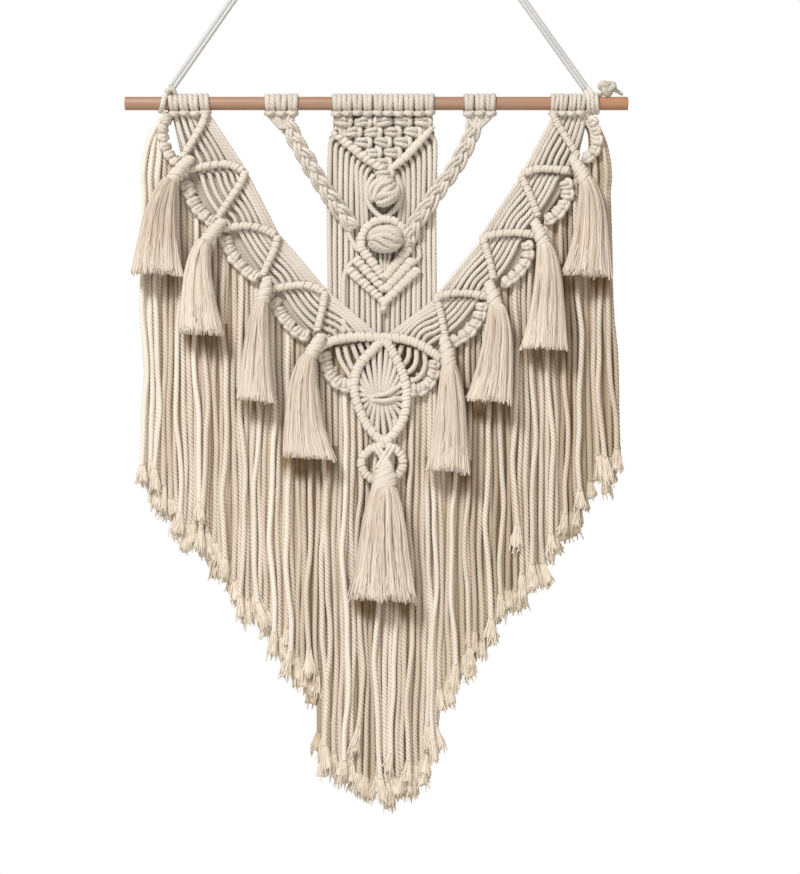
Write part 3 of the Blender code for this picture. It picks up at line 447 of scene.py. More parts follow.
def beech(name):
    """Bare turned beech, satin: pinkish tan, more orange to the right, with fine grain and dark rays."""
    made, tree = empty_material(name)
    where = add(tree, "ShaderNodeTexCoord")
    grain_space = add(tree, "ShaderNodeMapping", {"Vector": where.outputs["Object"],
                                                  "Scale": (14.0, 700.0, 700.0)})
    grain = add(tree, "ShaderNodeTexNoise", {"Vector": grain_space.outputs[0], "Scale": 1.0, "Detail": 4.0})
    ray_space = add(tree, "ShaderNodeMapping", {"Vector": where.outputs["Object"],
                                                "Scale": (260.0, 1500.0, 1500.0)})
    rays = add(tree, "ShaderNodeTexNoise", {"Vector": ray_space.outputs[0], "Scale": 1.0, "Detail": 2.0})
    body = add(tree, "ShaderNodeMix", {0: grain.outputs[0], 6: srgb("956E57"), 7: srgb("B2917B")},
               data_type="RGBA")
    split = add(tree, "ShaderNodeSeparateXYZ", {0: where.outputs["Object"]})
    warm = add(tree, "ShaderNodeMapRange", {"Value": split.outputs[0], "From Min": 0.11, "From Max": 0.21,
                                            "To Max": 0.55})
    body = add(tree, "ShaderNodeMix", {0: warm.outputs[0], 6: body.outputs[2], 7: srgb("B9845A")},
               data_type="RGBA")
    fleck = add(tree, "ShaderNodeMapRange", {"Value": rays.outputs[0], "From Min": 0.6, "From Max": 0.75,
                                             "To Max": 0.5})
    colour = add(tree, "ShaderNodeMix", {0: fleck.outputs[0], 6: body.outputs[2], 7: srgb("855C43")},
                 data_type="RGBA")
    bump = add(tree, "ShaderNodeBump", {"Height": grain.outputs[0], "Strength": 0.25, "Distance": 0.0002})
    shader = add(tree, "ShaderNodeBsdfPrincipled",
                 {"Base Color": colour.outputs[2], "Normal": bump.outputs[0], "Roughness": 0.5})
    add(tree, "ShaderNodeOutputMaterial", {"Surface": shader.outputs[0]})
    return made


# ---------------------------------------------------------------- lines
def metres(points):
    """Millimetres from the rod's axis, as metres in the frame."""
    return (np.asarray(points, float) + (0.0, 0.0, ROD_Z)) * MM


def unit(rows):
    return rows / np.maximum(np.linalg.norm(rows, axis=-1, keepdims=True), 1e-9)


def run_of(line):
    """The way along a line to each of its points."""
    return np.append(0.0, np.cumsum(np.linalg.norm(np.diff(line, axis=0), axis=1)))


def sample(rows, run, at):
    """Rows that belong to the points of a line, taken at other ways along it."""
    return np.stack([np.interp(at, run, column) for column in rows.T], axis=1)


def drawn_out(values, share):
    """One number, or a few at equal steps, read at shares of a line's length."""
    return np.interp(share, np.linspace(0, 1, np.size(values)), np.atleast_1d(values))


def at_x(table, x):
    """What a table of pairs says at x, between two of its rows a share of both."""
    return np.interp(x, *zip(*table))


def evenly(line, step):
    """The same line with its points at equal steps."""
    run = run_of(line)
    count = max(2, int(round(run[-1] / step)) + 1)
    at = np.linspace(0.0, run[-1], count)
    return sample(line, run, at)


def smooth(points, step=1.5, closed=False):
    """A smooth line (Catmull-Rom) through the points, with its own points at equal steps."""
    p = np.asarray(points, float)
    ends = (p[-1:], p[1:2]) if closed else (2 * p[:1] - p[1:2], 2 * p[-1:] - p[-2:-1])
    if closed:
        p = np.vstack([p, p[:1]])
    ext = np.vstack([ends[0], p, ends[1]])
    a, b, c, d = (ext[k:len(ext) - 3 + k, None, :] for k in range(4))
    t = np.linspace(0.0, 1.0, 16, endpoint=False)[None, :, None]
    dense = 0.5 * (2 * b + (c - a) * t + (2 * a - 5 * b + 4 * c - d) * t ** 2
                   + (3 * b - a - 3 * c + d) * t ** 3)
    return evenly(np.vstack([dense.reshape(-1, p.shape[1]), p[-1:]]), step)


def route(points, y, step=1.5, closed=False):
    """A smooth line through (x, z) points at depth y, or at one depth for each point."""
    depth = np.broadcast_to(y, (len(points),))
    return smooth([(x, d, z) for (x, z), d in zip(points, depth)], step, closed)


def directions(line, up):
    """Sideways and upwards at each point of a line; up is a rough direction for the second."""
    along = unit(np.gradient(line, axis=0))
    side = unit(np.cross(along, np.broadcast_to(up, line.shape)))
    return side, np.cross(side, along)


# ---------------------------------------------------------------- skins: rings of points along a line
def cord(line, up=FRONT, wide=CORD, deep=None, lay=LAY, sides=6, groove=GROOVE, phase=0.0, tone=0.5,
         turned=True):
    """The skin of a twisted cord.

    At angle a a ring's point is wide * cos a sideways and deep * sin a upwards, and a point between two plies
    is drawn in by the groove. The angle grows left-handed along the line, by one turn in each lay. Where the
    rings aren't turned, only the cord's colour and fine relief turn.
    """
    deep = wide if deep is None else deep
    side, rise = directions(line, up)
    run = run_of(line)
    k = np.arange(sides)
    spin = phase / TURN + run / lay
    angle = TURN * (spin * turned)[:, None] + TURN * k / sides
    lobe = 1.0 - groove * (1.0 + np.cos(TURN * PLIES * k / sides)) / 2
    across = np.broadcast_to(wide, run.shape)[:, None] * np.cos(angle) * lobe
    upwards = np.broadcast_to(deep, run.shape)[:, None] * np.sin(angle) * lobe
    rings = line[:, None] + across[..., None] * side[:, None] + upwards[..., None] * rise[:, None]
    return rings, run, tone, -spin * (not turned)


def winding(line, wide, deep, radius=WIND, pitch=WIND_PITCH, slant=0.3, tone=0.5):
    """Cord wound round a bar: its middle runs on a flattened helix round the line.

    At turn t it is (wide - radius) cos(2 pi t) sideways and (deep - radius) sin(2 pi t) forwards of the point
    that lies t pitches along, and its sides lean on by the slant. Wide and deep may change along the line,
    and the turns crowd and open a little, by a sine of t.
    """
    run = run_of(line)
    length = run[-1]
    turns = max(1, int(round(length / pitch)))
    t = np.linspace(0.0, turns, turns * WIND_POINTS + 1)
    angle = TURN * t
    wide, deep = drawn_out(wide, t / turns), drawn_out(deep, t / turns)
    wide = wide * (1 + 0.035 * np.sin(2.1 * t + length))
    place = t / turns * length + 0.16 * pitch * np.sin(2.7 * t + 0.7 * length)
    at = np.clip(place + slant * wide * np.cos(angle), 0.0, length)
    middle, side = sample(line, run, at), unit(sample(directions(line, FRONT)[0], run, at))
    across, forwards = (wide * np.cos(angle))[:, None], (deep * np.sin(angle))[:, None]
    path = (middle + side * (across - radius * np.cos(angle)[:, None])
            + FRONT * (forwards - radius * np.sin(angle)[:, None]))
    outwards = unit(side * (deep * np.cos(angle))[:, None] + FRONT * (wide * np.sin(angle))[:, None])
    return cord(path, outwards, wide=radius * 1.25, deep=radius * 0.95, lay=UNTWISTED, groove=0.0, tone=tone)


def bar(line, wide=4.2, deep=2.9, tone=0.5, **kind):
    """A hitched bar: close turns round a hidden core."""
    share = np.linspace(0.0, 1.0, len(line))
    half, thick = np.maximum(drawn_out(wide, share) - 1.3, 0.5), np.maximum(drawn_out(deep, share) - 1.2, 0.5)
    core = cord(line, wide=half, deep=thick, groove=0.0, tone=0.2)
    return [core, winding(line, wide, deep, tone=tone, **kind)]


def knot(middle, across, wide, high, rng, radius=2.3, tone=0.7, bight=1):
    """A square knot: a plump bight down one side, and two strands that spread from it to the other side.

    A strand stands forwards most in the middle, and its ends bend back round the cords it is knotted on.
    """
    across = bight * np.array([across[0], 0.0, across[1]]) / np.hypot(*across)
    along = np.cross(across, FRONT)
    skins = []
    lean = rng.uniform(-0.25, 0.25)
    for row in (-1, 1):
        place = np.array([-1.0, -0.9, -0.4, 0.2, 0.6, 0.8]) * (wide - radius * 0.5)
        rise = row * (high - radius) * np.array([0.7, 0.95, 1.0, 0.9, 0.75, 0.6])
        rise = rise + rng.uniform(-0.3, 0.3) + (lean + 0.12 * row) * place
        lift = np.array([-4.0, -1.0, 1.8, 1.8, 0.3, -2.5]) + row * rng.uniform(-0.5, 0.5)
        line = middle + np.outer(place, across) + np.outer(rise, along) + np.outer(lift, FRONT)
        skins.append(cord(smooth(line, 1.3), wide=radius * rng.uniform(1.0, 1.15), deep=radius,
                          phase=rng.uniform(0, TURN), groove=0.15, tone=tone + rng.uniform(-0.2, 0.15)))
    place = wide - radius * np.array([1.9, 0.9, 0.6, 0.9, 1.9]) + rng.uniform(-0.3, 0.3)
    steps = np.array([-1.1, -0.66, 0.0, 0.66, 1.1]) * (high - 0.4) + rng.uniform(-0.3, 0.3)
    lift = np.array([-2.0, 0.8, 1.9, 0.8, -2.0])
    line = middle + np.outer(place, across) + np.outer(steps, along) + np.outer(lift, FRONT)
    skins.append(cord(smooth(line, 1.2), wide=radius * 1.12, phase=rng.uniform(0, TURN), groove=0.15,
                      tone=tone + rng.uniform(0.0, 0.25)))
    return skins


def frayed_end(tip, way, radius, rng, tone, start_tone, count):
    """The opened end of a cord: a fluted lock that widens from its tip, and many loose threads round it.

    The lock's half width grows by half, and every second of its eight sides is drawn in, the more the further
    down. A thread runs out from the lock by its own flare and wanders, and each is cut at its own length.
    """
    reach = 21.0 * rng.uniform(0.75, 1.2)
    flare = rng.uniform(0.6, 1.25)
    lean = way + (rng.normal(0, 0.12), rng.normal(0, 0.03), 0.0)
    share = np.array([-0.12, -0.02, 0.3, 0.65, 0.9, 0.92])
    half = radius * (np.array([0.6, 1.03, 1.1, 1.2, 1.2, 1.0])
                     + 0.8 * flare * np.array([0.0, 0.0, 0.3, 0.8, 1.0, 1.0]))
    line = tip + np.outer(share * reach, lean)
    side, rise = directions(line, FRONT)
    k = np.arange(8)
    angle = TURN * k / 8 + (rng.uniform(0, TURN) + 0.7 * share)[:, None]
    flute = half[:, None] * (1.0 - rng.uniform(0.1, 0.4, 8) * (k % 2) * np.clip(share, 0, 1)[:, None])
    rings = (line[:, None] + (flute * np.cos(angle))[..., None] * side[:, None]
             + 0.5 * (flute * np.sin(angle))[..., None] * rise[:, None])
    rings[-2:] += rng.uniform(-4.0, 1.0, 8)[:, None] * way
    tones = np.append([start_tone] * 2, [0.5 * (tone + start_tone)] + [tone] * 3)
    skins = [(rings, 4.0 * np.arange(6), tones, 0.0)]
    for thread in range(count):
        a = TURN * (thread + rng.uniform(0, 0.8)) / count
        out = np.cos(a) * side[0] + 0.5 * np.sin(a) * rise[0]
        cut, wide = rng.uniform(0.72, 1.15), 0.85 + flare * rng.uniform(0.35, 1.5)
        down = cut * np.array([0.0, 0.33, 0.7, 0.98, 1.0])
        off = np.array([0.7, 0.85 + 0.1 * wide, 0.3 + 0.72 * wide, wide, wide])
        stray = rng.normal(0, 1.0, (3, 3))[[0, 0, 1, 2, 2]] * np.array([0.0, 0.35, 0.6, 0.8, 0.8])[:, None]
        line = tip + np.outer(down * reach, lean) + np.outer(off * radius, out) + stray
        skins.append(cord(line, wide=np.array([0.75, 0.85, 0.8, 0.65, 0.5]), sides=3, groove=0.0,
                          lay=UNTWISTED, tone=tone + rng.uniform(-0.3, 0.4)))
    return skins


# ---------------------------------------------------------------- pieces
def piece(name, skins, finish, slot, *nodes):
    """One mesh out of many skins: each is a tube of four-sided faces with a flat cap at both ends."""
    points, corners, starts, uvs, tones = [], [], [], [], []
    base = size = 0
    for rings, run, tone, spin in skins:
        n, m = rings.shape[:2]
        index = base + np.arange(n * m).reshape(n, m)
        over, under = index[:-1], index[1:]
        quads = np.stack([over, under, np.roll(under, -1, 1), np.roll(over, -1, 1)], -1)
        ring_u, spin = np.arange(m) / m, np.broadcast_to(spin, n)[:, None]
        u0, u1 = ring_u + spin[:-1], ring_u + spin[1:]
        v0, v1 = (np.broadcast_to(part[:, None], u0.shape) for part in (run[:-1], run[1:]))
        around = [np.stack(pair, -1) for pair in ((u0, v0), (u1, v1), (u1 + 1 / m, v1), (u0 + 1 / m, v0))]
        points.append(rings.reshape(-1, 3))
        tones.append(np.repeat(np.broadcast_to(tone, n), m))
        corners += [quads.reshape(-1), index[0], index[-1][::-1]]
        caps = [np.stack([ring_u, np.full(m, run[0])], -1), np.stack([ring_u[::-1], np.full(m, run[-1])], -1)]
        uvs += [np.stack(around, 2).reshape(-1, 2), *caps]
        starts += [size + 4 * np.arange((n - 1) * m), [size + 4 * (n - 1) * m, size + 4 * (n - 1) * m + m]]
        base += n * m
        size += 4 * (n - 1) * m + 2 * m
    points, corners = metres(np.vstack(points)), np.concatenate(corners)
    starts = np.concatenate(starts)
    mesh = bpy.data.meshes.new(name)
    mesh.vertices.add(len(points))
    mesh.vertices.foreach_set("co", points.ravel())
    mesh.loops.add(len(corners))
    mesh.loops.foreach_set("vertex_index", corners.astype(np.int32))
    mesh.polygons.add(len(starts))
    mesh.polygons.foreach_set("loop_start", starts.astype(np.int32))
    mesh.update(calc_edges=True)
    mesh.uv_layers.new(name="run").data.foreach_set("uv", np.vstack(uvs).ravel())
    mesh.attributes.new("tone", "FLOAT", "POINT").data.foreach_set("value", np.concatenate(tones))
    mesh.shade_smooth()
    mesh.materials.append(finish)
    made = bpy.data.objects.new(name, mesh)
    bpy.context.collection.objects.link(made)
    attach(made, "root")
    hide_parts(*nodes)
    return made


def dice(name):
    """The random numbers of one piece, always the same."""
    return np.random.default_rng(sum(name.encode()))


# ---------------------------------------------------------------- the rod and what hangs on it
def hanging_cord():
    """Two straight legs and the bend over the nail; two cords lie side by side, so the ring has two lobes."""
    top = HANG_CORD_DIAMETER / 2 - ROD_Z
    left, right = np.array(HANG_LEFT), np.array(HANG_RIGHT)
    centre = np.array([0.0, top - HANG_BEND_RADIUS])
    turns = []
    for end, side in ((left, 1), (right, -1)):
        away = end - centre
        swing = np.arccos(HANG_BEND_RADIUS / np.linalg.norm(away))
        turns.append(np.arctan2(away[1], away[0]) - side * swing)
    leg_points, bend_points = 16, 8
    angle = np.linspace(turns[0] % TURN, turns[1], bend_points + 1)
    bend = centre + HANG_BEND_RADIUS * np.stack([np.cos(angle), np.sin(angle)], axis=1)
    leg = np.linspace(0.0, 1.0, leg_points, endpoint=False)[:, None]
    left_leg, right_leg = left + (bend[0] - left) * leg, bend[-1] + (right - bend[-1]) * leg
    rows = np.vstack([left_leg, bend, right_leg[1:], [right]])
    path = np.stack([rows[:, 0], np.zeros(len(rows)), rows[:, 1]], axis=1)
    line = evenly(path, 1.6)
    across, _ = directions(line, FRONT)
    skins = []
    for side in (-1, 1):
        skins.append(cord(line + side * across * 1.55, wide=2.2, deep=2.6, lay=13.0, sides=9, groove=0.04,
                          phase=side, tone=0.55 + 0.1 * side))
    made = piece("hanging_cord_pair", skins, FINISH["grey"], "hanging_cord", "hanging_cord")


def ties():
    """The cord's ends: a strand that slants over the rod, and on the right three turns and an overhand knot.

    A turn's angle starts at the rod's top and passes its front. The overhand knot is drawn up tight: at t it
    is sin t + 2 sin 2t sideways, cos t - 2 cos 2t upwards and sin 3t forwards, and its short free end rests
    on the rod.
    """
    circle = ROD_RADIUS + 2.4
    angle = np.linspace(0.1, 0.86, 40) * TURN
    tucked = circle - 1.6 * np.clip((angle / TURN - 0.22) / 0.2, 0.0, 1.0)
    over = np.stack([np.linspace(*TIES["left_x"], 40), -tucked * np.sin(angle), tucked * np.cos(angle)],
                    axis=1)
    start = [(HANG_LEFT[0], 0.0, HANG_LEFT[1]), TIES["left_start"]]
    skins = [cord(smooth(np.vstack([start, over[::5]]), 1.2), wide=2.7, groove=0.1, tone=0.9),
             cord(smooth(TIES["left_knot"], 1.0), wide=2.3, groove=0.1, tone=0.4)]
    piece("tie_left_strand", skins, FINISH["tie"], "hanging_cord", "tie_left")

    angle = np.linspace(0.05, 2.9, 90) * TURN
    over = np.stack([np.linspace(*TIES["right_x"], 90), -circle * np.sin(angle), circle * np.cos(angle)],
                    axis=1)
    t = np.linspace(0.25, 5.9, 34)
    shape = np.stack([2.05 * (np.sin(t) + 2 * np.sin(2 * t)), -1.9 * np.sin(3 * t),
                      1.7 * (np.cos(t) - 2 * np.cos(2 * t))], axis=1)
    tight = shape + TIES["right_knot"]
    start = (HANG_RIGHT[0] - 1.6, 0.0, HANG_RIGHT[1] - 1.2)
    second = [(HANG_RIGHT[0] + 1.6, -0.5, HANG_RIGHT[1] + 1.2), *TIES["right_second"]]
    free = smooth(TIES["free_end"], 1.2)
    turns = np.vstack([start, over[::5], TIES["right_lead"], tight[:1]])
    skins = [cord(smooth(turns, 1.2), wide=2.25, groove=0.1, tone=0.9),
             cord(smooth(second, 1.2), wide=2.25, groove=0.1, tone=0.9),
             cord(smooth(tight[::2], 1.2), wide=3.3, groove=0.1, tone=0.2),
             cord(free, wide=np.linspace(2.6, 1.5, len(free)), groove=0.1, tone=0.3)]
    piece("tie_right_knot", skins, FINISH["tie"], "hanging_cord", "tie_right")


def rod():
    """The rod's turned profile: a cylinder whose end edges are rounded by a quarter circle."""
    half = (ROD_HIGH[0] - ROD_LOW[0]) / 2
    angle = np.linspace(np.pi / 2, 0.0, 5)
    left_x = -half + ROD_EDGE * (1 - np.sin(angle))
    left_radius = ROD_RADIUS - ROD_EDGE * (1 - np.cos(angle))
    x, radius = np.append(left_x, -left_x[::-1]), np.append(left_radius, left_radius[::-1])
    line = np.stack([x, np.zeros(len(x)), np.zeros(len(x))], axis=1)
    turned = cord(line, wide=radius, sides=48, groove=0.0, lay=UNTWISTED)
    piece("rod_turned", [turned], FINISH["beech"], "beech", "rod")


def heading(name, x0, x1, loops, slant, gather):
    """Cord loops side by side round the rod, and under each two a knuckle that holds them.

    Over a braid the cords run on from the knuckles to the place where they gather.
    """
    rng = dice(name)
    width = (x1 - x0) / loops
    radius = width / 4
    skins = []
    a = np.linspace(-2.7, 2.75, 34)
    for k in range(2 * loops):
        x = x0 + (k + 0.5) * width / 2
        toward = (1 if k % 2 == 0 else -1) * radius * 0.45
        around = ROD_RADIUS + 1.35 + rng.uniform(-0.15, 0.35)
        z = around * np.cos(a)
        lean = np.clip(a / 2.75, 0, 1) ** 2 * toward - slant * (z - around) * 0.5 * np.clip(a, 0, 1)
        bend = rng.uniform(-0.5, 0.5) * np.sin(a * rng.uniform(0.8, 1.3))
        line = np.stack([x + lean + bend, -around * np.sin(a), z], axis=1)
        outwards = np.stack([np.zeros(len(a)), -np.sin(a), np.cos(a)], axis=1)
        skins.append(cord(line, outwards, wide=radius * 1.1, deep=1.75, phase=rng.uniform(0, TURN), sides=9,
                          groove=0.1, tone=rng.uniform(0.45, 0.9)))
    for k in range(loops):
        x = x0 + (k + 0.5) * width + slant * 8.0
        drop, reach = rng.uniform(-0.5, 0.5), width * rng.uniform(0.3, 0.36)
        tip = rng.uniform(-0.7, 0.7)
        points = [(x - reach, -2.5, -8.6 + drop - tip), (x - reach * 0.85, -6.0, -9.4 + drop - tip * 0.6),
                  (x, -8.2, -9.9 + drop), (x + reach * 0.85, -6.0, -9.4 + drop + tip * 0.6),
                  (x + reach, -2.5, -8.6 + drop + tip)]
        skins.append(cord(smooth(points, 0.9), wide=2.8, deep=2.6, tone=rng.uniform(0.6, 1.0), groove=0.12,
                          phase=rng.uniform(0, TURN)))
        if gather:
            for way in (-1, 1):
                foot = (gather[0] + (x - gather[0]) * 0.12 + way * 1.2, gather[1])
                start = x + way * width * 0.2
                points = [(start, -8.0), (start * 0.8 + foot[0] * 0.2, -12.5), foot]
                skins.append(cord(route(points, [-4.2, -4.6, -3.4], 1.3), wide=2.35, groove=0.13,
                                  tone=rng.uniform(0.5, 0.9), phase=rng.uniform(0, TURN)))
    piece(f"{name}_loops", skins, FINISH["cord"], "cotton_cord", name)


# ---------------------------------------------------------------- wings
def wing_cords(name, side, sections):
    """Cords that run from each bar that comes back to the next, under the bar that goes out between them.

    Cord k starts at its share of the way from the inner to the outer end of one row and ends at the same
    share of the next. The bar going out crosses it at that share of its length: before it the cord bows
    outwards by a sine, and after it inwards by another. A second layer behind it fills the slits.
    """
    rng = dice(name)
    skins = []
    for number, section in enumerate(sections):
        start, end = (np.array(section[key], float) for key in ("start", "end"))
        first_section = number == 0
        rows = [(share, True) for share in WING_SHARES[side]]
        rows += [(share, False) for share in np.arange(0.08, 1.0 if first_section else 1.36, 0.1)]
        for share, seen in rows:
            share += rng.uniform(-0.012, 0.012)
            low = share * (1.1 if first_section and not seen else 1.0)
            first, last = start[0] + (start[1] - start[0]) * share, end[0] + (end[1] - end[0]) * low
            way = unit(last - first)
            outwards = np.array([-way[1], way[0]]) * (1 if side == "right" else -1)
            t, cross = np.linspace(0.0, 1.0, 9), np.clip(share, 0.02, 0.98)
            before = (section["bow"] + 1.0) * share * np.sin(np.pi * t / cross)
            after = -section["dip"] * 4 * share * (1 - cross) * np.sin(np.pi * (t - cross) / (1 - cross))
            bow = np.where(t < cross, before, after)
            above = way * (4.5 if seen or first_section else 9.0)
            points = np.outer(1 - t, first) + np.outer(t, last) + np.outer(bow * seen, outwards)
            points = np.vstack([first - above, points, last + way * 4.5])
            sunk_ends = 0.8 * np.abs(np.linspace(-1, 1, 11)) ** 3
            depth = (WING_Y if seen else WING_BACK_Y) + rng.uniform(-0.3, 0.3) + sunk_ends
            if seen:
                skins.append(cord(route(points, depth, 1.6), wide=2.1 + 0.2 * min(share, 1.0), groove=0.15,
                                  phase=rng.uniform(0, TURN), tone=rng.uniform(0.4, 1.0)))
            else:
                # Painted shade: the cords behind are darkened toward the deep colour.
                skins.append(cord(route(points, depth, 3.2), wide=2.7, groove=0.0, sides=5, turned=False,
                                  phase=rng.uniform(0, TURN), tone=rng.uniform(-0.4, -0.15)))
    return skins


def wing(side, sections):
    """One wing, its scalloped chains, and the short cords under the arch."""
    name = f"wing_{side}"
    rng = dice(name)
    skins = wing_cords(name, side, sections)
    lower = LOWER_WING[side]
    for points in lower["cords"]:
        skins.append(cord(route(points, WING_Y, 1.4), wide=2.5, phase=rng.uniform(0, TURN), groove=0.13,
                          tone=rng.uniform(0.6, 1.0)))
    piece(f"{name}_cords", skins, FINISH["cord"], "cotton_cord", name)
    for number, section in enumerate([*sections, lower], 1):
        half = TOP_CHAIN_HALF if number == 1 else CHAIN_HALF
        chain(f"chain_{side}_{number}", section["chain"], half, bight=1 if side == "left" else -1)


def chain(name, path, half, bight):
    """A scallop of square knots in a row along a hidden core, with their bights on its outer side."""
    rng = dice(name)
    line = route(path, CHAIN_Y, 1.0)
    skins = [cord(line, wide=3.2, deep=2.4, groove=0.0, tone=0.0)]
    across, _ = directions(line, FRONT)
    length = run_of(line)[-1]
    count = max(3, int(round(length / 8.4)))
    for k in range(count):
        at = int((k + 0.5) / count * (len(line) - 1))
        middle = line[at] + FRONT * rng.uniform(0.0, 0.8)
        skins += knot(middle, across[at][[0, 2]] + rng.uniform(-0.2, 0.2, 2), half + rng.uniform(-0.5, 0.5),
                      length / count / 2 + 0.1, rng, radius=2.45, tone=rng.uniform(0.5, 0.9), bight=bight)
    piece(f"{name}_knots", skins, FINISH["bar"], "knot_chain", name)


def zigzag(name, out, back):
    """A hitched bar out to its tassel, in fine turns, and the looser one that comes back from it."""
    skins = bar(route(out, BAR_Y), wide=np.array([3.6, 3.7, 3.6, 3.5, 3.5, 3.6]), radius=1.5, pitch=2.8,
                tone=0.8, slant=0.25)
    if back:
        skins += bar(route(back, BAR_Y + 0.5), wide=np.array([3.9, 3.9, 3.7, 3.7, 4.0, 4.2]), radius=2.0,
                     pitch=3.6, tone=0.7, slant=0.0)
    piece(f"{name}_turns", skins, FINISH["bar"], "hitched_bar", name)


# ---------------------------------------------------------------- tassels
def tassel(name, neck, upper, lower, left, right, locks, light=0.0, wrap=(1.9, 3.6), crossings=()):
    """A wrapped neck over a skirt of combed threads: an inner body with locks, and threads laid over it.

    Down the skirt its middle bends from the neck's direction to the middle of the cut end, and its half width
    grows from the neck's to the cut end's by the form's shares. Threads crowd to the middle of their lock.
    """
    rng = dice(name)
    neck_end, low_left, low_right = np.array(neck[-1], float), np.array(left, float), np.array(right, float)
    foot, half = (low_left + low_right) / 2, 0.47 * np.linalg.norm(low_right - low_left)
    way = unit(neck_end - np.array(neck[-2], float))
    top = neck_end - way * 4.0
    bend = top + way * 0.25 * np.linalg.norm(foot - top)
    across_top, across_foot = np.array([-way[1], way[0]]), unit(low_right - low_left)
    cells = 2 * locks
    seams = (np.arange(cells + 1) + np.append(rng.uniform(-0.22, 0.22, cells), 0.0)) / cells * TURN
    seams[-1] = seams[0] + TURN
    shift, stretch = rng.uniform(-0.07, 0.07, cells), rng.uniform(-0.02, 0.02, cells)
    phases = rng.uniform(0, TURN, cells)

    def surface(down, angle, grow):
        """Points on the tassel's form at shares of its length and angles round it."""
        share = np.interp(down, TASSEL_FORM[:, 0], TASSEL_FORM[:, 1])
        wide = (lower * 0.8 + (half - lower * 0.8) * share) * grow
        deep = np.interp(down, TASSEL_FORM[:, 0], TASSEL_FORM[:, 2]) * grow
        d = down[..., None]
        middle = (1 - d) ** 2 * top + 2 * d * (1 - d) * bend + d ** 2 * foot
        flat = middle + unit((1 - d) * across_top + d * across_foot) * (wide * np.cos(angle))[..., None]
        return np.stack([flat[..., 0], TASSEL_Y - deep * np.sin(angle) + 0 * down, flat[..., 1]], axis=-1)

    def lock_of(angle):
        """Which lock an angle lies in, and where in it, from -1 to 1."""
        turned = (angle - seams[0]) % TURN + seams[0]
        number = np.clip(np.searchsorted(seams, turned, side="right") - 1, 0, cells - 1)
        return number, 2 * (turned - seams[number]) / (seams[number + 1] - seams[number]) - 1

    angle = np.linspace(0.0, TURN, 60, endpoint=False)
    down = np.linspace(0.0, 0.955, 26)
    _, place = lock_of(angle)
    ridge = -0.16 * place[None] ** 4 * np.clip(down * 3, 0, 1)[:, None]
    rings = surface(down[:, None] + 0 * angle, angle + 0 * down[:, None], 0.87 + ridge)
    # The hidden body is painted lighter towards the foot, a painted light on the gaps between the thread
    # ends.
    skins = [(rings[:, ::-1], np.linspace(0, 100, len(down)), 0.25 + 0.75 * down ** 5, 0.0)]
    for k in range(TASSEL_THREADS):
        a = TURN * (k + rng.uniform(0, 1)) / TASSEL_THREADS
        number, place = lock_of(a)
        wisp = rng.random() < 0.1
        reach = 0.972 + stretch[number] + rng.uniform(-0.018, 0.014) + 0.02 * wisp
        d = np.append(np.linspace(0.0, reach - 0.006, 12), reach)
        width = (seams[number + 1] - seams[number]) / 2
        crowd = -0.3 * place * width * np.sin(np.pi * np.clip(d * 0.8, 0, 1))
        wave = shift[number] * np.sin(5.5 * d + phases[number])
        wave = wave + rng.normal(0, 0.05) * np.sin(rng.uniform(6, 17) * d + rng.uniform(0, TURN))
        wave = wave + rng.normal(0, 0.06) * d ** 2
        hump = (0.07 - 0.1 * place ** 4) * np.clip(d * 3, 0, 1)
        grow = 0.9 + hump + rng.uniform(-0.05, 0.05) + (0.11 * wisp + rng.uniform(0, 0.05)) * d ** 6
        line = surface(np.clip(d, 0, 1.05), a + crowd + wave, grow)
        # Painted shade darkens a thread at its lock's edges, and painted light makes it lighter towards the
        # cut end.
        tone = light + np.clip(rng.normal(0.6, 0.4), -0.3, 1.4) - 0.5 * place ** 6 * (1 - d) + 0.8 * d ** 5
        skins.append(cord(line, wide=np.linspace(0.85, 0.75, 13), sides=3, groove=0.0, lay=UNTWISTED,
                          phase=rng.uniform(0, TURN), tone=tone))
    for _ in range(TASSEL_FRIZZ):
        a, high = rng.uniform(0, TURN), rng.uniform(0.78, 0.95)
        d = np.array([high, (high + 0.97) / 2, 0.982, 1.002]) + rng.uniform(-0.03, 0.0)
        line = surface(d, a + np.array([0.0, 0.5, 0.95, 1.0]) * rng.normal(0, 0.22), 0.92 + 0.4 * (d - high))
        # Painted light: the frizz is lighter than the threads.
        skins.append(cord(line, wide=0.55, sides=3, groove=0.0, lay=UNTWISTED,
                          tone=light + rng.uniform(1.0, 1.8)))
    piece(f"{name}_threads", skins, FINISH["tassel"], "tassel_thread", name)
    start = np.array(neck[0]) * 1.06 - np.array(neck[1]) * 0.06
    line = route([start, *neck[1:]], [-11.5, -15.5, -17.5], 1.0)
    wide = np.array([4.6, upper, upper + 0.5, (upper + lower) / 2 + 0.6, lower + 0.3, lower])
    deep = np.array([3.6, 5.2, 6.2, 6.8, 7.0, 6.6])
    turns = bar(line, wide=wide, deep=deep, radius=wrap[0], pitch=wrap[1], slant=0.45, tone=0.75)
    for high, low, lift in crossings:
        points = [(high, -305.5), ((high * 2 + low) / 3, -312.0), ((high + low * 2) / 3, -318.5),
                  (low, -326.0)]
        turns.append(cord(route(points, [-8.0, -11.0 - lift, -13.0, -15.5], 1.3), wide=2.2, tone=0.8))
    piece(f"{name}_wrap", turns, FINISH["bar"], "hitched_bar")


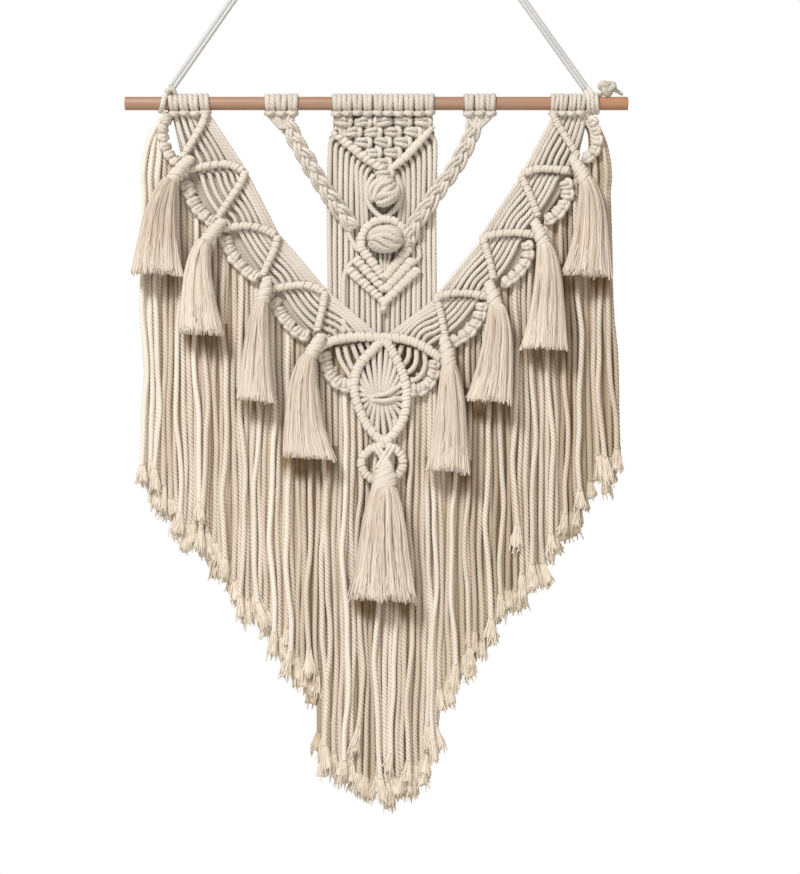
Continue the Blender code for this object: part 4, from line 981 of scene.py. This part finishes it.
# ---------------------------------------------------------------- the centre
def net():
    """Alternating square knots, one fewer in each row, and the cords that cross from knot to knot.

    Plain cords hang behind it, darkened toward the deep colour as painted shade, and two on each side run
    down its edge.
    """
    rng = dice("net")
    skins = []
    for r in range(NET_ROWS):
        count = NET_ROWS - r
        depth = -2.9 if r == 0 else -1.6
        for k in range(count):
            x, z = NET_MIDDLE_X + (k - (count - 1) / 2) * NET_PITCH_X, NET_TOP_Z - r * NET_PITCH_Z
            across, wide = (1.0, rng.uniform(-0.1, 0.1)), 8.1 + rng.uniform(-0.3, 0.3)
            skins += knot(np.array([x, depth, z]), across, wide, 4.6, rng, tone=rng.uniform(0.6, 1.0),
                          bight=1 if rng.random() < 0.8 else -1)
            for way in (-1, 1):
                for offset in (1.6, 5.4):
                    points = [(x + way * offset * 0.8, z - 2.0), (x + way * offset, z - 4.0),
                              (x + way * (NET_PITCH_X / 2 - offset * 0.4), z - NET_PITCH_Z + 2.0)]
                    skins.append(cord(route(points, 0.2, 1.4), wide=2.1, tone=rng.uniform(0.3, 0.7)))
    for x in np.linspace(-36.0, 48.0, 18):
        foot = at_x(NET_EDGE, x)
        # Painted shade: the cords behind the net are darkened toward the deep colour.
        skins.append(cord(route([(x, -9.0), (x, (foot - 9.0) / 2), (x, foot)], BACK_Y - 0.4, 3.0), wide=2.7,
                          sides=5, groove=0.0, turned=False, tone=-0.85))
    for x, foot in NET_SIDES:
        inwards = (2.0, 4.0) if x < 0 else (-1.0, -1.0)
        points = [(x, -9.0), (x + inwards[0], -16.0), (x + inwards[1], foot)]
        skins.append(cord(route(points, -0.6, 1.4), wide=2.3, groove=0.13, tone=0.8))
    piece("net_knots", skins, FINISH["cord"], "cotton_cord", "net")


def panel(side):
    """Cords that come out in an arc from under the net's edge and hang to the arch, and plain ones behind.

    The two innermost show only below the chevrons, so they start there.
    """
    name = f"panel_{side}"
    rng = dice(name)
    sign = -1 if side == "left" else 1
    skins = []
    for k, x in enumerate(np.linspace(*PANEL_CORDS[side], 10)):
        x_start = x - sign * 6.5
        z_start = at_x(NET_EDGE, x_start)
        bow = sign * 4.5 * np.clip((k - 5) / 4, 0, 1)
        points = [(x_start, z_start), (x - sign * 2.2 + bow * 0.3, z_start - 3.0), (x + bow, z_start - 11.0),
                  (x + bow, -85.0), (x, -125.0), (x, -165.0), (x, PANEL_BOTTOM)]
        if k > 7:
            points = [(x, -170.0), (x, -180.0), (x, PANEL_BOTTOM)]
        points = [(px + rng.uniform(-0.5, 0.5), pz) for px, pz in points]
        depth = PANEL_Y + rng.uniform(-0.5, 0.5, len(points))
        depth[0] -= 1.0
        skins.append(cord(route(points, depth, 1.5), wide=CORD * rng.uniform(1.06, 1.16),
                          phase=rng.uniform(0, TURN), groove=0.16, tone=rng.uniform(0.45, 1.0)))
        behind = x - sign * 2.4
        top = (behind, at_x(NET_EDGE, behind) - 2.0)
        line = route([top, (behind, -130.0), (behind, PANEL_BOTTOM)], BACK_Y, 3.4)
        # Painted shade: the cords behind are darkened toward the deep colour.
        skins.append(cord(line, wide=2.9, phase=rng.uniform(0, TURN), sides=5, groove=0.0, turned=False,
                          tone=rng.uniform(-0.6, -0.4)))
    for points in FEEDS[side]:
        skins.append(cord(route(points, -2.4, 1.5), wide=2.4, groove=0.13, tone=0.8))
    piece(f"{name}_cords", skins, FINISH["cord"], "cotton_cord", name)


def berry(name, at, size, deep, axis, strands):
    """A berry knot: thick strands that run from pole to pole of a knob, over a hidden round core.

    At latitude a from the middle, a strand is cos a out from the axis and sin a along it, and it swirls on
    with a and wanders by a slow sine.
    """
    rng = dice(name)
    half = np.array([size[0] / 2, deep / 2, size[1] / 2])
    middle = np.array([at[0], -1.3 - deep / 2, at[1]])
    tilt = np.linspace(0.08, np.pi - 0.08, 14)[:, None]
    angle = np.linspace(0, TURN, 24, endpoint=False)[None]
    core = np.stack([np.sin(tilt) * np.cos(angle), np.sin(tilt) * np.sin(angle),
                     np.cos(tilt) + 0 * angle], -1)
    skins = [(middle + core * (half - 2.8), np.linspace(0, 30, 14), 0.3, 0.0)]
    pole = unit(np.array(axis, float))
    first = unit(np.cross(pole, [0.0, 1.0, 0.2]))
    second = np.cross(pole, first)
    for k in range(2 * strands):
        thick = rng.uniform(2.2, 2.9)
        lat = np.linspace(-1.3, 1.3, 18) + rng.uniform(-0.15, 0.15)
        lon = TURN * (k + rng.uniform(-0.2, 0.2)) / strands / 2 + 0.6 * lat * rng.uniform(0.4, 1.5)
        lon = lon + 0.16 * np.sin(2.6 * lat + rng.uniform(0, TURN))
        place = (np.outer(np.cos(lat) * np.cos(lon), first) + np.outer(np.cos(lat) * np.sin(lon), second)
                 + np.outer(np.sin(lat), pole))
        line = evenly(middle + place * (half - thick + rng.uniform(-0.7, 0.5)), 1.2)
        skins.append(cord(line, unit(line - middle), wide=thick * 1.1, deep=thick, groove=0.16,
                          tone=rng.uniform(0.5, 1.0), phase=rng.uniform(0, TURN)))
    piece(f"{name}_turns", skins, FINISH["cord"], "cotton_cord", name)


def braid(name, path):
    """Three strands of two cords, a third of a turn apart: each runs A sin t sideways, B sin 2t forwards."""
    rng = dice(name)
    points = len(path)
    depth = -5.8 * np.minimum(1.0, 2.2 * np.linspace(0, 1, points))
    line = route(path, depth, 1.5)
    across, rise = directions(line, FRONT)
    run = run_of(line)
    narrow = np.clip(0.8 + run / 40.0, 0.8, 1.0) * np.clip(0.7 + (run[-1] - run) / 20.0, 0.7, 1.0)
    skins = []
    for strand in range(3):
        t = TURN * (run / BRAID_CYCLE + strand / 3)
        sideways, forwards = 4.1 * np.sin(t) * narrow, 2.8 * np.sin(2 * t) * narrow
        middle = line + across * sideways[:, None] + rise * forwards[:, None]
        own_side, _ = directions(middle, rise)
        for cord_side in (-1, 1):
            offset = own_side * cord_side * 1.8 * narrow[:, None]
            wander = own_side * 0.35 * np.sin(run / 7.0 + rng.uniform(0, TURN))[:, None]
            skins.append(cord(middle + offset + wander, rise, wide=2.2, tone=rng.uniform(0.5, 1.0),
                              groove=0.15, phase=rng.uniform(0, TURN)))
    piece(f"{name}_strands", skins, FINISH["cord"], "cotton_cord", name)


def star():
    """Cords that spread from the heart to the leaf's frame, and the two that tie them in the middle."""
    rng = dice("star")
    frame_line = route(LEAF, 0.0, 1.0, closed=True)
    skins = []
    for k in range(STAR_CORDS):
        rim = frame_line[int((k + 0.5) / STAR_CORDS * len(frame_line)) % len(frame_line)]
        up = 1 if rim[2] > LEAF_MIDDLE[1] else -1
        heart = np.array([STAR_HEART[0] + (rim[0] - LEAF_MIDDLE[0]) * 0.35, 0.0,
                          STAR_HEART[1] + (rim[2] - LEAF_MIDDLE[1]) * 0.04])
        points = [(heart[0], heart[2] - up), (heart[0] * 0.7 + rim[0] * 0.3, heart[2] * 0.7 + rim[2] * 0.3),
                  (heart[0] * 0.35 + rim[0] * 0.65, heart[2] * 0.38 + rim[2] * 0.62), (rim[0], rim[2])]
        line = route(points, [-5.4, -6.0, -4.8, -3.8], 1.4)
        skins.append(cord(line, wide=np.linspace(2.1, 2.6, len(line)), phase=rng.uniform(0, TURN),
                          groove=0.13, tone=rng.uniform(0.45, 0.9)))
    piece("star_cords", skins, FINISH["cord"], "cotton_cord", "star")
    depth = [-5.6, -8.6, -9.2, -8.0, -5.6]
    skins = [cord(route(path, depth, 1.2), wide=2.4, groove=0.1, tone=0.9) for path in STAR_TIES]
    piece("star_tie_cords", skins, FINISH["cord"], "hitched_bar", "star_tie")


def net_edge():
    """The two hitched bars that meet in a V below the net, its tip's knot, and the berry's side cords."""
    ends = np.array([3.0, 4.6, 4.9, 4.9, 4.6, 3.6])
    skins = bar(route(NET_EDGE[:4], LOW_BAR_Y - 0.4), wide=ends, tone=0.75, radius=2.3, pitch=5.2, slant=0.05)
    skins += bar(route(NET_EDGE[4:], LOW_BAR_Y - 0.4), wide=ends[::-1] - 0.6, tone=0.85, radius=2.1,
                 pitch=3.2)
    piece("net_edge_turns", skins, FINISH["bar"], "hitched_bar", "net_edge")
    skins = knot(np.array([7.6, -4.6, -64.2]), (1.0, 0.1), 8.4, 4.6, dice("net_tip"))
    for path in HUGS:
        depth = [-3.0, -3.6, -3.8, -3.6, -3.0, -3.0]
        skins.append(cord(route(path, depth, 1.3), wide=2.8, groove=0.17, tone=0.85))
    piece("net_tip_cords", skins, FINISH["cord"], "cotton_cord")


def chevron(name, left, right, wide, cords=(), tip=()):
    """A V of two hitched bars: coarse turns on its left arm and fine, slanting ones on its right.

    The first has cords that come down inside it from the berry, and the last ends in a short wrapped tip.
    """
    skins = []
    for arm, pitch, slant in ((left, 4.6, 0.1), (right, 3.4, 0.4)):
        line = evenly(np.insert(np.array(arm, float), 1, LOW_BAR_Y, axis=1), 1.2)
        skins += bar(line, wide=np.array(wide), deep=2.8, radius=2.1, pitch=pitch, slant=slant, tone=0.8)
    for x in cords:
        line = route([(x, -128.0), (x, -138.0), (7.2 + (x - 7.2) * 0.4, -151.0)], [-1.0, -3.4, -4.0], 1.4)
        # Their darker tone is painted shade under the lower berry.
        skins.append(cord(line, wide=1.9, tone=0.3))
    if tip:
        line = route(tip, LOW_BAR_Y - 1.0, 1.0)
        skins += bar(line, wide=np.array([3.6, 4.2, 2.6]), deep=np.array([3.2, 3.8, 2.4]), radius=2.1,
                     pitch=4.0)
    piece(f"{name}_turns", skins, FINISH["bar"], "hitched_bar", name)


def framing_bar(name, line, **kind):
    """One of the hitched bars that frame the centre."""
    piece(f"{name}_turns", bar(line, **kind), FINISH["bar"], "hitched_bar", name)


def centre():
    """All that lies between the wings, from the net down to the small ring above the middle tassel."""
    net()
    for side in PANEL_CORDS:
        panel(side)
    for row in BERRIES:
        berry(**row)
    net_edge()
    framing_bar("ring", route(RING, LOW_BAR_Y), wide=4.7, deep=3.2, radius=2.1, pitch=3.6, tone=0.8)
    for row in CHEVRONS:
        chevron(**row)
    for row in BRAIDS:
        braid(**row)
    fine = dict(wide=4.6, deep=3.2, radius=2.0, pitch=3.4)
    framing_bar("arch", route(ARCH, BAR_Y), slant=0.3, tone=0.8, **fine)
    framing_bar("leaf", route(LEAF, BAR_Y, closed=True), slant=0.35, tone=0.85, **fine)
    star()
    framing_bar("lower_ring", route(LOWER_RING, BAR_Y, closed=True), wide=4.4, pitch=3.6, tone=0.75)


# ---------------------------------------------------------------- fringe
def painted_tassel_shadow(line):
    """A painted shadow below a tassel's cut end: how much browner a cord is made there, 1 at the cut, and 0
    from 22 mm below it.
    """
    brown = np.zeros(len(line))
    for row in TASSELS:
        foot = np.interp(line[:, 0], *zip(row["left"], row["right"]), left=-1e3, right=-1e3)
        down = foot - line[:, 2]
        brown = np.maximum(brown, np.clip(1.2 - down / 18.0, 0.0, 1.0) * (down > -12.0) * (foot > -1e3))
    return brown


def fringe(name, x0, x1, lean, behind):
    """Three layers of cords that hang from the work above, each with its own cut and an opened end.

    The layer behind is close and plain, the middle one close and twisted, and the front one loose. Their
    tones
    are painted light and shade: the front one lighter, as lit, and the one behind darker, most of all near
    its top under the work. A cord swings by a slow sine that its neighbours share and by a small one of its
    own. The outermost cords come down from the wing in an arc. Below a tassel the two layers in front are
    browner: a painted shadow.
    """
    rng = dice(name)
    sign = -1 if x1 < 0 else 1
    skins, ends_opened = [], []
    for number, layer in enumerate(FRINGE_LAYERS):
        at_back, at_front = number == 0, number == 2
        low, high = behind if at_back else (x0, x1)
        places = np.linspace(low, high, int(round((high - low) / layer["pitch"])) + 1)
        places = places + layer["stray"] * rng.uniform(-1, 1, len(places))
        for x in np.clip(places, min(x0, low), max(x1, high)):
            if number == 1 and rng.random() < GAPS and abs(x) < 190:
                continue
            low_x = x + lean * (x - x0) / (x1 - x0) + layer["splay"] * rng.uniform(-1, 1)
            low_x = np.clip(low_x, FRINGE_ENDS[0][0], FRINGE_ENDS[-1][0])
            bottom = at_x(FRINGE_ENDS, low_x) + 15.0 + rng.uniform(*layer["drop"])
            if not at_front:
                bottom += 10.0 * max(0.0, np.sin(x / 4.3 + 1.3))
            elif rng.random() < SHORT_CORDS and abs(x) < 185:
                bottom += rng.uniform(15.0, 55.0)
            top = at_x(FRINGE_TOPS, x)
            if at_back:
                top = -212.0 if abs(x) < PANEL_HALF else top + (12.0 if abs(x) < 181 else 1.0)
            points, depth = [], []
            if abs(x) > OUTER_X[0]:
                share = (OUTER_X[1] - abs(x)) / (OUTER_X[1] - OUTER_X[0])
                for row in OUTER_STRANDS:
                    points.append((sign * (row["outer"] + (row["inner"] - row["outer"]) * share), row["z"]))
                    depth.append(max(layer["y"], -1.0) - 0.5)
                top = -80.0
            own, phase = rng.uniform(0, TURN), 3.0 * np.sin(x / 19.0)
            for d in np.linspace(0.0, 1.0, max(7, int((top - bottom) / 24.0))):
                z = top + (bottom - top) * d
                wave = np.sin(z / 31.0 + phase + 0.4 * own) + 0.4 * np.sin(z / 13.0 + own)
                points.append((x + (low_x - x) * d + layer["swing"] * wave * min(1.0, 3 * d), z))
                fade = min(1.0, d * 8.0)
                depth.append((1 - fade) * max(layer["y"], 0.5) + fade * layer["y"] + rng.uniform(-0.6, 0.6))
            line = route(points, depth, layer["step"])
            way = unit(line[-1] - line[-5])
            line = np.vstack([line, line[-1] + 0.05 * way])
            tone = at_x(FRINGE_PAINTED_LIGHT, x) + rng.uniform(*layer["tone"])
            tone += 0.3 * np.sin(x / 9.0 + 2.0 * np.sin(x / 31.0))
            # Painted shade: the layer behind darkens toward its top under the work, and the two in front get
            # a painted shadow just below a tassel.
            painted_shade_under_work = 0.8 * at_back * np.clip(1.0 - (line[0, 2] - line[:, 2]) / 60.0, 0, 1)
            shaded = tone - painted_shade_under_work - (not at_back) * rng.uniform(0.7, 2.1) * painted_tassel_shadow(line)
            thick = layer["thick"] * rng.uniform(0.94, 1.08)
            skins.append(cord(line, wide=thick, phase=rng.uniform(0, TURN), lay=LAY * rng.uniform(0.93, 1.1),
                              sides=layer["sides"], turned=not at_back, groove=layer["groove"], tone=shaded))
            ends_opened += frayed_end(line[-1], way, thick, rng, tone + layer["end_light"], tone,
                                      layer["threads"])
    piece(f"{name}_cords", skins, FINISH["fringe"], "fringe_cord", name)
    piece(f"{name}_ends", ends_opened, FINISH["opened"], "fringe_cord")


# ---------------------------------------------------------------- everything
camera()
studio()
# Each cotton's third colour is a painted shade between its plies, and its deep colour the painted shade of
# hidden cords and of the fringe below a tassel.
FINISH = {
    "beech": beech("turned_beech"),
    "grey": cotton("grey_cotton_cord", "D8D9DA", "C5C6C7", "B0B0B0", plied=0.2),
    "tie": cotton("tied_cotton_cord", "E4E0D6", "C6BFB1", "A49C8D", plied=0.4),
    "cord": cotton("twisted_cotton_cord", "E0D9CF", "C8BFB4", "A19587", deep="786B5B", plied=0.4),
    "bar": cotton("wound_cotton_cord", "E2DACE", "CBC2B5", "B2A594", deep="786B5B", plied=0.2),
    "fringe": cotton("hanging_cotton_cord", "F0E8DC", "CEC0AE", "988267", deep="876E4E", plied=0.55),
    "opened": cotton("opened_cotton_ends", "EADFCE", "CABAA3", "9C8B72", deep="8C7353", plied=0.0),
    "tassel": cotton("combed_cotton_thread", "E6DBCD", "C8BAA8", "CDBDA4", deep="9A8672", plied=0.0),
}
floor()
hanging_cord()
ties()
rod()
for heading_row in HEADINGS:
    heading(**heading_row)
for wing_side, wing_sections in WINGS.items():
    wing(wing_side, wing_sections)
for zigzag_side, zigzag_rows in ZIGZAGS.items():
    for zigzag_number, zigzag_row in enumerate(zigzag_rows, 1):
        zigzag(f"bars_{zigzag_side}_{zigzag_number}", zigzag_row["out"], zigzag_row["back"])
for tassel_row in TASSELS:
    tassel(**tassel_row)
centre()
for fringe_row in FRINGES:
    fringe(**fringe_row)
